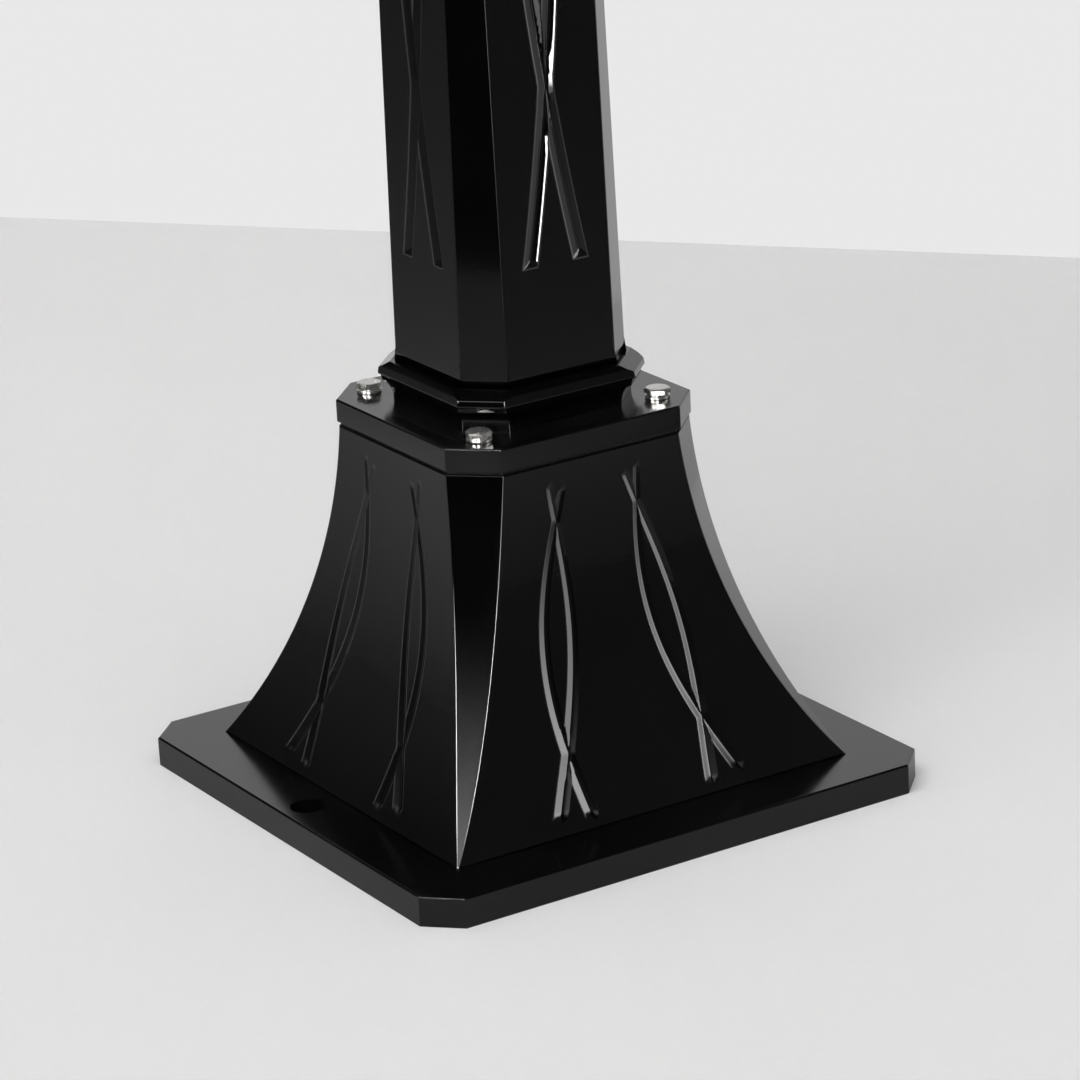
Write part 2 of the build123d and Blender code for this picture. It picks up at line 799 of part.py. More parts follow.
# Lantern frame: four corner posts between two rails, wider at the top, with a ledge for the panels
band_bottom = frame_top - frame_band_height
frame_inner_foot = frame_foot_side - 2 * frame_foot_wall
frame_inner_top = frame_top_side - 2 * frame_top_wall
retainer_screw_place = (frame_top_side - frame_top_wall) / 2
with BuildPart() as lantern_frame:
    loft(
        [
            octagon(frame_foot_side, frame_corner, pan_top),
            octagon(frame_top_side, frame_corner, band_bottom),
        ],
        ruled=True,
    )
    extrude(octagon(frame_top_side, frame_corner, band_bottom), amount=frame_band_height)
    loft(
        [
            octagon(frame_inner_foot, frame_inner_corner, pan_top),
            octagon(frame_inner_top, frame_inner_corner, frame_top),
        ],
        ruled=True,
        mode=Mode.SUBTRACT,
    )
    for angle in (0, 90):
        with BuildSketch(upright_plane(angle)):
            with BuildLine():
                Polyline(
                    (-window_foot_side / 2, pan_top + window_sill),
                    (window_foot_side / 2, pan_top + window_sill),
                    (window_top_side / 2, band_bottom - window_head),
                    (-window_top_side / 2, band_bottom - window_head),
                    close=True,
                )
            make_face()
        extrude(amount=frame_top_side, both=True, mode=Mode.SUBTRACT)
    with BuildSketch(Plane.XY.offset(pan_top)):
        Rectangle(frame_inner_foot + frame_foot_wall, frame_inner_foot + frame_foot_wall)
        Rectangle(ledge_opening, ledge_opening, mode=Mode.SUBTRACT)
    extrude(amount=frame_ledge_height)
    with BuildSketch(Plane.XY.offset(pan_top)):
        with PolarLocations(frame_screw_place, 4):
            Circle(frame_screw / 2 + screw_clearance)
    extrude(amount=frame_ledge_height, mode=Mode.SUBTRACT)
    with BuildSketch(Plane.XY.offset(frame_top)):
        with PolarLocations(retainer_screw_place, 4):
            Circle(retainer_screw / 2 + thread_clearance)
    extrude(amount=-(retainer_screw_grip + screw_clearance), mode=Mode.SUBTRACT)
lantern_frame.part.label = "lantern_frame"
export_step(lantern_frame.part, "parts/lantern_frame.step")

# Frame screws: round-headed screws down through the ledge into the pan
ledge_top = pan_top + frame_ledge_height
with BuildPart() as frame_screws:
    with BuildSketch(Plane.XY.offset(ledge_top)):
        with PolarLocations(frame_screw_place, 4):
            Circle(frame_screw_head / 2)
    extrude(amount=frame_screw_head_height)
    with BuildSketch(Plane.XY.offset(ledge_top)):
        with PolarLocations(frame_screw_place, 4):
            Circle(frame_screw / 2)
    extrude(amount=-(frame_ledge_height + frame_screw_grip))
frame_screws.part.label = "frame_screws"
export_step(frame_screws.part, "parts/frame_screws.step")

# Opal panels: four leaning plates behind the windows, standing on the ledge
frame_lean = (frame_inner_top - frame_inner_foot) / 2 / frame_height
panel_top = frame_top - seat_clearance


def panel_section(level, plane):
    """Cross-section of the front panel at one level, clear of its neighbours."""
    outer = frame_inner_foot / 2 + frame_lean * (level - pan_top) - seat_clearance
    inner = outer - panel_thickness
    with BuildSketch(plane.offset(level)) as section:
        with Locations((0, -(outer + inner) / 2)):
            Rectangle(2 * (inner - seat_clearance), panel_thickness)
    return section.sketch


panel_names = ("diffuser_front", "diffuser_right", "diffuser_back", "diffuser_left")
for turn, panel_name in enumerate(panel_names):
    panel_turn = radians(90 * turn)
    panel_plane = Plane(origin=(0, 0, 0), x_dir=(cos(panel_turn), sin(panel_turn), 0), z_dir=(0, 0, 1))
    with BuildPart() as panel:
        loft([panel_section(ledge_top, panel_plane), panel_section(panel_top, panel_plane)], ruled=True)
    panel.part.label = panel_name
    export_step(panel.part, "parts/" + panel_name + ".step")

# Panel retainer: a square ring on the frame that keeps the panels in
with BuildPart() as panel_retainer:
    extrude(octagon(frame_top_side, frame_corner, frame_top), amount=retainer_thickness)
    with BuildSketch(Plane.XY.offset(frame_top)):
        Rectangle(retainer_opening, retainer_opening)
    extrude(amount=retainer_thickness, mode=Mode.SUBTRACT)
    with BuildSketch(Plane.XY.offset(frame_top)):
        with PolarLocations(retainer_screw_place, 4):
            Circle(retainer_screw / 2 + screw_clearance)
    extrude(amount=retainer_thickness, mode=Mode.SUBTRACT)
    with Locations((0, 0, retainer_top)):
        with PolarLocations(retainer_screw_place, 4):
            Cone(
                retainer_screw / 2 + screw_clearance,
                retainer_screw_head / 2 + screw_clearance,
                retainer_screw_head_height,
                align=(Align.CENTER, Align.CENTER, Align.MAX),
                mode=Mode.SUBTRACT,
            )
panel_retainer.part.label = "panel_retainer"
export_step(panel_retainer.part, "parts/panel_retainer.step")

# Retainer screws: countersunk, flush with the ring
with BuildPart() as retainer_screws:
    with Locations((0, 0, retainer_top)):
        with PolarLocations(retainer_screw_place, 4):
            Cone(
                retainer_screw / 2,
                retainer_screw_head / 2,
                retainer_screw_head_height,
                align=(Align.CENTER, Align.CENTER, Align.MAX),
            )
    with BuildSketch(Plane.XY.offset(retainer_top)):
        with PolarLocations(retainer_screw_place, 4):
            Circle(retainer_screw / 2)
    extrude(amount=-(retainer_thickness + retainer_screw_grip))
retainer_screws.part.label = "retainer_screws"
export_step(retainer_screws.part, "parts/retainer_screws.step")

# Lamp holder: a round ceramic body screwed on the nipple
holder_floor = holder_bottom + holder_base
holder_top = holder_bottom + holder_height
shell_inner = bulb_cap_side / 2 + bulb_clearance
shell_outer = shell_inner + shell_thickness
with BuildPart() as lamp_holder:
    with BuildSketch(Plane.XY.offset(holder_bottom)):
        Circle(holder_side / 2)
    extrude(amount=holder_height)
    fillet(lamp_holder.edges().group_by(Axis.Z)[0], holder_edge)
    fillet(lamp_holder.edges().group_by(Axis.Z)[-1], holder_edge)
    with BuildSketch(Plane.XY.offset(holder_floor)):
        Circle(shell_outer + screw_clearance)
    extrude(amount=holder_height, mode=Mode.SUBTRACT)
    with BuildSketch(Plane.XY.offset(holder_bottom)):
        Circle(nipple / 2 + thread_clearance)
    extrude(amount=holder_thread_depth, mode=Mode.SUBTRACT)
lamp_holder.part.label = "lamp_holder"
export_step(lamp_holder.part, "parts/lamp_holder.step")

# Holder shell: the brass screw shell that grips the bulb cap
with BuildPart() as holder_shell:
    with BuildSketch(Plane.XY.offset(holder_floor)):
        Circle(shell_outer)
        Circle(shell_inner, mode=Mode.SUBTRACT)
    extrude(amount=shell_height)
holder_shell.part.label = "holder_shell"
export_step(holder_shell.part, "parts/holder_shell.step")

# Holder contact: the brass stud under the bulb's tip
contact_top = holder_floor + contact_height
with BuildPart() as holder_contact:
    with BuildSketch(Plane.XY.offset(holder_floor)):
        Circle(contact_side / 2)
    extrude(amount=contact_height)
holder_contact.part.label = "holder_contact"
export_step(holder_contact.part, "parts/holder_contact.step")

# Bulb cap: the metal screw cap and its tip
tip_bottom = contact_top + thread_clearance
cap_bottom = tip_bottom + bulb_tip_height
cap_top = cap_bottom + bulb_cap_length
with BuildPart() as bulb_cap:
    with BuildSketch(Plane.XY.offset(cap_bottom)):
        Circle(bulb_cap_side / 2)
    extrude(amount=bulb_cap_length)
    with BuildSketch(Plane.XY.offset(tip_bottom)):
        Circle(bulb_tip_side / 2)
    extrude(amount=bulb_tip_height)
bulb_cap.part.label = "bulb_cap"
export_step(bulb_cap.part, "parts/bulb_cap.step")

# Bulb body: the cone between cap and globe
cone_top = cap_top + bulb_cone_height
globe_radius = bulb_globe_side / 2
globe_foot = sqrt(globe_radius**2 - bulb_globe_lift**2)
with BuildPart() as bulb_body:
    with Locations((0, 0, cap_top)):
        Cone(bulb_cap_side / 2, globe_foot, bulb_cone_height, align=(Align.CENTER, Align.CENTER, Align.MIN))
bulb_body.part.label = "bulb_body"
export_step(bulb_body.part, "parts/bulb_body.step")

# Bulb globe: the opal ball on the cone
globe_centre = cone_top + bulb_globe_lift
with BuildPart() as bulb_globe:
    with Locations((0, 0, globe_centre)):
        Sphere(globe_radius)
    with BuildSketch(Plane.XY.offset(cone_top)):
        Rectangle(2 * bulb_globe_side, 2 * bulb_globe_side)
    extrude(amount=-bulb_globe_side, mode=Mode.SUBTRACT)
bulb_globe.part.label = "bulb_globe"
export_step(bulb_globe.part, "parts/bulb_globe.step")

# Roof gasket: a square rubber ring on the retainer
with BuildPart() as roof_gasket:
    extrude(octagon(frame_top_side, frame_corner, retainer_top), amount=seal_thickness)
    with BuildSketch(Plane.XY.offset(retainer_top)):
        Rectangle(frame_top_side - 2 * seal_width, frame_top_side - 2 * seal_width)
    extrude(amount=seal_thickness, mode=Mode.SUBTRACT)
roof_gasket.part.label = "roof_gasket"
export_step(roof_gasket.part, "parts/roof_gasket.step")

# Roof: hollow eaves, a hollowed pyramid above them and a skirt around the frame's top rail
eaves = eaves_side / 2
eaves_across = across_corner(eaves_side, eaves_corner)
eaves_top = eaves_bottom + eaves_height
slope_bottom = eaves_top + eaves_slope
slope = eaves - eaves_inset
slope_across = eaves_across - eaves_inset
crown = roof_top_side / 2
crown_across = across_corner(roof_top_side, roof_top_corner)
arc_level = slope_bottom + (roof_top - slope_bottom) * roof_hollow_share
ledge_level = eaves_bottom + reflector_recess
attic = reflector_side / 2 - reflector_ledge
attic_top = roof_top - roof_top_wall
attic_crown = crown - reflector_recess
attic_level = ledge_level + (attic_top - ledge_level) * roof_hollow_share
thumb_level = frame_top - thumb_drop
skirt_inner = frame_top_side / 2 + skirt_gap
skirt_outer = skirt_inner + skirt_wall
with BuildLine() as roof_side_line:
    Line((eaves, eaves_bottom), (eaves, eaves_top))
    Line((eaves, eaves_top), (slope, slope_bottom))
    ThreePointArc((slope, slope_bottom), ((slope + crown) / 2, arc_level), (crown, roof_top))
with BuildLine() as roof_corner_line:
    Line((eaves_across, eaves_bottom), (eaves_across, eaves_top))
    Line((eaves_across, eaves_top), (slope_across, slope_bottom))
    ThreePointArc(
        (slope_across, slope_bottom),
        ((slope_across + crown_across) / 2, arc_level),
        (crown_across, roof_top),
    )
with BuildLine() as attic_side_line:
    ThreePointArc((attic, ledge_level), ((attic + attic_crown) / 2, attic_level), (attic_crown, attic_top))
with BuildLine() as attic_corner_line:
    ThreePointArc(
        (across_corner(2 * attic, eaves_corner), ledge_level),
        ((across_corner(2 * attic, eaves_corner) + attic_crown) / 2, attic_level),
        (attic_crown, attic_top),
    )
with BuildPart() as roof:
    add(squared_block(roof_side_line.line, roof_corner_line.line, eaves_side))
    add(squared_block(attic_side_line.line, attic_corner_line.line, eaves_side), mode=Mode.SUBTRACT)
    with BuildSketch(Plane.XY.offset(eaves_bottom)):
        Rectangle(reflector_side + 2 * seat_clearance, reflector_side + 2 * seat_clearance)
    extrude(amount=reflector_recess, mode=Mode.SUBTRACT)
    with BuildSketch(Plane.XY.offset(eaves_bottom)):
        Rectangle(2 * skirt_outer, 2 * skirt_outer)
        Rectangle(2 * skirt_inner, 2 * skirt_inner, mode=Mode.SUBTRACT)
    extrude(amount=-skirt_height)
    with BuildSketch(Plane.YZ):
        with Locations((0, thumb_level)):
            Circle(thumb_screw / 2 + thread_clearance)
    extrude(amount=eaves_side, both=True, mode=Mode.SUBTRACT)
    with BuildSketch(Plane.XY.offset(roof_top)):
        Circle(finial_stud / 2 + thread_clearance)
    extrude(amount=-roof_top_wall, mode=Mode.SUBTRACT)
    with BuildSketch(Plane.XY.offset(ledge_level)):
        with PolarLocations(attic + reflector_ledge / 2, 4):
            Circle(reflector_screw / 2 + thread_clearance)
    extrude(amount=reflector_screw_grip + screw_clearance, mode=Mode.SUBTRACT)
roof.part.label = "roof"
export_step(roof.part, "parts/roof.step")

# Roof reflector: a white sheet in the recess under the roof
reflector_bottom = ledge_level - reflector_thickness
with BuildPart() as roof_reflector:
    with BuildSketch(Plane.XY.offset(reflector_bottom)):
        Rectangle(reflector_side, reflector_side)
        with PolarLocations(attic + reflector_ledge / 2, 4):
            Circle(reflector_screw / 2 + screw_clearance, mode=Mode.SUBTRACT)
    extrude(amount=reflector_thickness)
roof_reflector.part.label = "roof_reflector"
export_step(roof_reflector.part, "parts/roof_reflector.step")

# Reflector screws: flat-headed screws up into the roof
with BuildPart() as reflector_screws:
    with BuildSketch(Plane.XY.offset(reflector_bottom)):
        with PolarLocations(attic + reflector_ledge / 2, 4):
            Circle(reflector_screw_head / 2)
    extrude(amount=-reflector_screw_head_height)
    with BuildSketch(Plane.XY.offset(reflector_bottom)):
        with PolarLocations(attic + reflector_ledge / 2, 4):
            Circle(reflector_screw / 2)
    extrude(amount=reflector_thickness + reflector_screw_grip)
reflector_screws.part.label = "reflector_screws"
export_step(reflector_screws.part, "parts/reflector_screws.step")

# Finial: a turned ball on a disc, with a stud down through the roof
disc_top = roof_top + finial_base_height
ball_radius = finial_ball_side / 2
ball_centre = finial_top - ball_radius
stud_bottom = attic_top - finial_nut_height - 1
with BuildPart() as finial:
    with BuildSketch(Plane.XY.offset(roof_top)):
        Circle(finial_base_side / 2)
    extrude(amount=finial_base_height)
    with BuildSketch(Plane.XY.offset(disc_top)):
        Circle(finial_neck_side / 2)
    extrude(amount=ball_centre - disc_top)
    with Locations((0, 0, ball_centre)):
        Sphere(ball_radius)
    with BuildSketch(Plane.XY.offset(roof_top)):
        Circle(finial_stud / 2)
    extrude(amount=stud_bottom - roof_top)
finial.part.label = "finial"
export_step(finial.part, "parts/finial.step")

# Finial nut: holds the stud inside the roof
with BuildPart() as finial_lock_nut:
    with BuildSketch(Plane.XY.offset(attic_top)):
        RegularPolygon(finial_nut / 2, 6, major_radius=False)
        Circle(finial_stud / 2 + thread_clearance, mode=Mode.SUBTRACT)
    extrude(amount=-finial_nut_height)
finial_lock_nut.part.label = "finial_lock_nut"
export_step(finial_lock_nut.part, "parts/finial_lock_nut.step")

# Thumb screws: fluted knobs that pinch the skirt on the frame's top rail from left and right
thumb_tip = frame_top_side / 2 + thumb_gap
knob_start = skirt_outer + thumb_knob_gap
for hand, thumb_name in ((-1, "thumb_screw_left"), (1, "thumb_screw_right")):
    with BuildPart() as thumb:
        with BuildSketch(Plane.YZ.offset(hand * thumb_tip)):
            with Locations((0, thumb_level)):
                Circle(thumb_screw / 2)
        extrude(amount=hand * (knob_start - thumb_tip))
        with BuildSketch(Plane.YZ.offset(hand * knob_start)):
            with Locations((0, thumb_level)):
                Circle(thumb_knob_side / 2)
                with PolarLocations(thumb_knob_side / 2, thumb_flutes):
                    Circle(thumb_flute / 2, mode=Mode.SUBTRACT)
        extrude(amount=hand * thumb_knob_length)
    thumb.part.label = thumb_name
    export_step(thumb.part, "parts/" + thumb_name + ".step")
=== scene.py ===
import bpy
import numpy as np
from mathutils import Matrix, Vector


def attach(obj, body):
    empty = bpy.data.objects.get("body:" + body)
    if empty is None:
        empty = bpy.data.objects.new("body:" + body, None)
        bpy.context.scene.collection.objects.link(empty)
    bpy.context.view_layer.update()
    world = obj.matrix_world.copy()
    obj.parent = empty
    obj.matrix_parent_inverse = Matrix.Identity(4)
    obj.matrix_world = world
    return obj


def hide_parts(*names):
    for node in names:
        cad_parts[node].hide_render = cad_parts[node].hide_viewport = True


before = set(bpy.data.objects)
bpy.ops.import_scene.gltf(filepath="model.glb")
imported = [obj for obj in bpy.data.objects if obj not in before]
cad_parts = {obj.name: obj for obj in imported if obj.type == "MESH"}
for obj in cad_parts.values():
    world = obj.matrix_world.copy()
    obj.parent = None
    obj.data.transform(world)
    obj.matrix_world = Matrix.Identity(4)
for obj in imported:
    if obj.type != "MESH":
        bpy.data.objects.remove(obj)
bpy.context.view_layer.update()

# Base plate: a cast aluminium plate with cut corners that stands on the ground, held by two anchors.
# It is sprayed with black lacquer and baked, and is a little less glossy than pedestal and post.


def new_group(name, inputs, outputs):
    """An empty shader node group with float inputs and outputs of the given socket types."""
    group = bpy.data.node_groups.new(name, "ShaderNodeTree")
    for socket_name, value in inputs.items():
        socket = group.interface.new_socket(socket_name, in_out="INPUT", socket_type="NodeSocketFloat")
        socket.default_value = value
    for socket_name, socket_type in outputs.items():
        group.interface.new_socket(socket_name, in_out="OUTPUT", socket_type=socket_type)
    start = group.nodes.new("NodeGroupInput")
    end = group.nodes.new("NodeGroupOutput")
    return group, start, end


def noise(tree, scale, detail, vector):
    """A noise texture on the given coordinates; scale is a number or a socket."""
    node = tree.nodes.new("ShaderNodeTexNoise")
    node.inputs["Detail"].default_value = detail
    tree.links.new(vector, node.inputs["Vector"])
    if isinstance(scale, (int, float)):
        node.inputs["Scale"].default_value = scale
    else:
        tree.links.new(scale, node.inputs["Scale"])
    return node.outputs["Fac"]


def span(tree, value, low, high, to_low, to_high):
    """A value carried from one range to another, held at the ends."""
    node = tree.nodes.new("ShaderNodeMapRange")
    node.inputs["From Min"].default_value = low
    node.inputs["From Max"].default_value = high
    node.inputs["To Min"].default_value = to_low
    node.inputs["To Max"].default_value = to_high
    tree.links.new(value, node.inputs["Value"])
    return node.outputs["Result"]


def arithmetic(tree, operation, first, second):
    """One math node; each side is a number or a socket."""
    node = tree.nodes.new("ShaderNodeMath")
    node.operation = operation
    for socket, value in zip(node.inputs, (first, second)):
        if isinstance(value, (int, float)):
            socket.default_value = value
        else:
            tree.links.new(value, socket)
    return node.outputs[0]


def blended(tree, share, first, second):
    """Two colours mixed by a share."""
    node = tree.nodes.new("ShaderNodeMix")
    node.data_type = "RGBA"
    tree.links.new(share, node.inputs["Factor"])
    for socket, value in ((node.inputs["A"], first), (node.inputs["B"], second)):
        if isinstance(value, tuple):
            socket.default_value = (*value, 1)
        else:
            tree.links.new(value, socket)
    return node.outputs["Result"]


def dust_group():
    """Dust that settles on faces which look up: the upward part of the normal times a patchy noise."""
    inputs = {"Amount": 0.1, "Patch": 60.0}
    group, start, end = new_group("settled_dust", inputs, {"Mask": "NodeSocketFloat"})
    place = group.nodes.new("ShaderNodeTexCoord").outputs["Object"]
    facing = group.nodes.new("ShaderNodeNewGeometry").outputs["Normal"]
    parts = group.nodes.new("ShaderNodeSeparateXYZ")
    group.links.new(facing, parts.inputs[0])
    upward = span(group, parts.outputs["Z"], 0.3, 1.0, 0.0, 1.0)
    patches = span(group, noise(group, start.outputs["Patch"], 5.0, place), 0.42, 0.75, 0.0, 0.6)
    specks = span(group, noise(group, 2600.0, 2.0, place), 0.62, 0.75, 0.0, 0.8)
    fallen = arithmetic(group, "MULTIPLY", upward, arithmetic(group, "ADD", patches, specks))
    mask = arithmetic(group, "MULTIPLY", fallen, start.outputs["Amount"])
    group.links.new(mask, end.inputs["Mask"])
    return group


def spray_group():
    """A sprayed skin: broad uneven gloss, and a fine orange-peel height."""
    outputs = {"Unevenness": "NodeSocketFloat", "Height": "NodeSocketFloat"}
    group, start, end = new_group("sprayed_skin", {"Broad": 35.0, "Peel": 620.0}, outputs)
    place = group.nodes.new("ShaderNodeTexCoord").outputs["Object"]
    broad = noise(group, start.outputs["Broad"], 4.0, place)
    peel = noise(group, start.outputs["Peel"], 2.0, place)
    group.links.new(span(group, broad, 0.3, 0.7, 0.0, 1.0), end.inputs["Unevenness"])
    group.links.new(peel, end.inputs["Height"])
    return group


settled_dust = dust_group()
sprayed_skin = spray_group()


def place_group(tree, group, **values):
    """A node group placed in a material with its own values."""
    node = tree.nodes.new("ShaderNodeGroup")
    node.node_tree = group
    for name, value in values.items():
        node.inputs[name].default_value = value
    return node


def new_material(name):
    """A material with its Principled shader and its node tree."""
    material = bpy.data.materials.new(name)
    material.use_nodes = True
    return material, material.node_tree, material.node_tree.nodes["Principled BSDF"]


def bump(tree, shader, height, strength, distance):
    """A bump on the shader's normal."""
    node = tree.nodes.new("ShaderNodeBump")
    node.inputs["Strength"].default_value = strength
    node.inputs["Distance"].default_value = distance
    tree.links.new(height, node.inputs["Height"])
    tree.links.new(node.outputs["Normal"], shader.inputs["Normal"])


def lacquer(name, dark, light, smooth, rough, dust):
    """Sprayed lacquer: faint unevenness, orange peel, a little dust, and a painted highlight on rims.

    A mesh attribute says where a rim gets the painted highlight, a lighter grey with a duller gloss; a mesh
    without it has none.
    """
    # The lighter grey is a painted highlight for rims; the brownish grey is settled dust.
    rim_highlight_grey, dust_colour = (0.06, 0.06, 0.06), (0.3, 0.29, 0.27)
    material, tree, shader = new_material(name)
    skin = place_group(tree, sprayed_skin)
    settled = place_group(tree, settled_dust, Amount=dust)
    edge = tree.nodes.new("ShaderNodeAttribute")
    edge.attribute_name = "painted_rim_highlight"
    film = blended(tree, skin.outputs["Unevenness"], dark, light)
    # Painted highlight: where the attribute marks a rim, the colour is mixed towards the lighter grey.
    highlighted = blended(tree, edge.outputs["Fac"], film, rim_highlight_grey)
    dusty = blended(tree, settled.outputs["Mask"], highlighted, dust_colour)
    tree.links.new(dusty, shader.inputs["Base Color"])
    gloss = span(tree, skin.outputs["Unevenness"], 0.0, 1.0, smooth, rough)
    dulled = arithmetic(tree, "ADD", gloss, arithmetic(tree, "MULTIPLY", settled.outputs["Mask"], 0.6))
    dulled = arithmetic(tree, "ADD", dulled, arithmetic(tree, "MULTIPLY", edge.outputs["Fac"], 0.25))
    tree.links.new(dulled, shader.inputs["Roughness"])
    shader.inputs["IOR"].default_value = 1.5
    bump(tree, shader, skin.outputs["Height"], 0.02, 0.0002)
    return material


def dress(material, *nodes):
    """Puts one material on CAD nodes."""
    for node in nodes:
        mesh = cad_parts[node].data
        mesh.materials.clear()
        mesh.materials.append(material)


deep_black, thin_black = (0.0012, 0.0012, 0.0012), (0.002, 0.002, 0.002)
casting_dust = 0.008
plate_lacquer = lacquer("plate_lacquer", deep_black, thin_black, 0.15, 0.18, casting_dust)
dress(plate_lacquer, "base_plate")

# Cable grommet: a sleeve of black rubber, moulded with a faint grain and matt. It is pushed into the
# hole in the plate's middle, where a lip at its top rests on the plate.


def rubber(name, colour, grain):
    """Matt rubber: a fine grain in height and gloss."""
    material, tree, shader = new_material(name)
    skin = place_group(tree, sprayed_skin, Broad=60.0, Peel=grain)
    paler = tuple(1.8 * part for part in colour)
    tree.links.new(blended(tree, skin.outputs["Unevenness"], colour, paler), shader.inputs["Base Color"])
    tree.links.new(span(tree, skin.outputs["Height"], 0.3, 0.7, 0.55, 0.75), shader.inputs["Roughness"])
    bump(tree, shader, skin.outputs["Height"], 0.2, 0.0004)
    shader.inputs["Specular IOR Level"].default_value = 0.12
    return material


black_rubber = rubber("black_rubber", (0.005, 0.005, 0.005), 1500.0)
dress(black_rubber, "cable_grommet")

# Pedestal: a hollow aluminium casting in glossy black lacquer, screwed on from below. Its faces are
# hollowed arcs, its cut corners run out to a point at the foot, and two pairs of crossing V-grooves
# are cut in each face.
black_lacquer = lacquer("black_lacquer", deep_black, thin_black, 0.06, 0.08, casting_dust)


def circle_through(first, second, third):
    """Centre (x, z) and radius of the circle through three points, from their two bisectors."""
    (x1, z1), (x2, z2), (x3, z3) = first, second, third
    sides = np.array([[x2 - x1, z2 - z1], [x3 - x1, z3 - z1]])
    squares = np.array([x2**2 + z2**2 - x1**2 - z1**2, x3**2 + z3**2 - x1**2 - z1**2]) / 2
    centre = np.linalg.solve(sides, squares)
    return centre, np.hypot(*(np.array(first) - centre))


def arc_at(level, first, second, third):
    """x of the circle through three points at the given levels, on the side of the middle point."""
    centre, radius = circle_through(first, second, third)
    side = np.sign(second[0] - centre[0])
    return centre[0] + side * np.sqrt(np.maximum(radius**2 - (level - centre[1])**2, 0.0))


def squared_rings(level, half, corner, soft, across=None, sink=None, lean=None):
    """Rings of a square with cut corners and softened edges, one ring for each level.

    One quarter is a face, then two arcs of radius soft that turn it by 45 degrees each; the ring is
    that quarter turned four times. across holds the face columns as lengths, sink their depth below
    the face, and lean the face's change of half width with level.
    """
    steps = 4
    sizes = np.broadcast_arrays(level, half, corner, soft)
    level, half, corner, soft = (np.asarray(size, float)[:, None] for size in sizes)
    tangent = soft * np.tan(np.pi / 8)
    flat = half - corner - tangent
    if across is None:
        across = np.linspace(-1, 1, 5)[None, :] * flat
    if sink is None:
        sink = np.zeros_like(across)
        lean = np.zeros_like(level)
    slope = np.sqrt(1 + lean**2)
    face = np.stack([across, sink / slope - half, level + lean * sink / slope], axis=2)
    turn = np.arange(1, steps + 1)[None, :] / steps * np.pi / 4
    upright = np.broadcast_to(level, (len(level), steps))
    first = np.stack([flat + soft * np.sin(turn), soft * (1 - np.cos(turn)) - half, upright], axis=2)
    turn = (np.arange(steps)[None, :] / steps + 1) * np.pi / 4
    root = np.sqrt(0.5)
    second = np.stack([
        half - tangent * root + soft * (np.sin(turn) - root),
        corner - half - tangent * root + soft * (root - np.cos(turn)),
        upright,
    ], axis=2)
    quarter = np.concatenate([face, first, second], axis=1)
    turned = np.stack([-quarter[..., 1], quarter[..., 0], quarter[..., 2]], axis=2)
    opposite = quarter * (-1, -1, 1)
    return np.concatenate([quarter, turned, opposite, turned * (-1, -1, 1)], axis=1)


def round_rings(level, radius, like):
    """Circles at the given levels whose points lie in the same directions as those of a ring."""
    angle = np.arctan2(like[:, 1], like[:, 0])
    sizes = np.broadcast_arrays(level, radius)
    level, radius = (np.asarray(size, float)[:, None] for size in sizes)
    return np.stack([radius * np.cos(angle), radius * np.sin(angle), level + 0 * angle], axis=2)


def woven_mesh(name, rings):
    """A closed mesh from rings of points in millimetres.

    Each ring is joined round and to the next one, and the last ring is joined to the first.
    """
    rows, columns = rings.shape[:2]
    index = np.arange(rows * columns).reshape(rows, columns)
    above = np.roll(index, -1, axis=0)
    quads = np.stack([index, np.roll(index, -1, axis=1), np.roll(above, -1, axis=1), above], axis=2)
    mesh = bpy.data.meshes.new(name)
    mesh.from_pydata((rings.reshape(-1, 3) / 1000).tolist(), [], quads.reshape(-1, 4).tolist())
    mesh.polygons.foreach_set("use_smooth", np.ones(len(mesh.polygons), bool))
    return mesh


def new_piece(name, mesh, material, body, slot, *nodes):
    """An object for a mesh, with its material, which rides on a body and stands for CAD nodes."""
    piece = bpy.data.objects.new(name, mesh)
    bpy.context.scene.collection.objects.link(piece)
    mesh.materials.append(material)
    evened = piece.modifiers.new("evened_normals", "WEIGHTED_NORMAL")
    evened.keep_sharp = True
    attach(piece, body)
    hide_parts(*nodes)


rounding = 0.004
rim_reach = 0.09
far_outside = -9.0


def groove_wall(across, level, centre, steepness, half_width, bottom, low, high, square_ends):
    """How far a point lies inside one V-groove, 0 on its rim and 1 on its bottom line, and from its left rim.

    It grows evenly from each rim to the bottom line, which lies at a share of the half width right of the
    middle, and from the ends; the smallest of these counts.
    """
    aside = (across - centre) * steepness / half_width
    left, right = (1 + aside) / (1 + bottom), (1 - aside) / (1 - bottom)
    wall = 0.5 * (left + right - np.sqrt((left - right)**2 + rounding))
    beyond = np.maximum(low - level, level - high) / half_width
    wall = np.minimum(wall, -beyond) if square_ends else wall - np.maximum(beyond, 0)
    return wall, np.where(beyond < 0.3, left, far_outside)


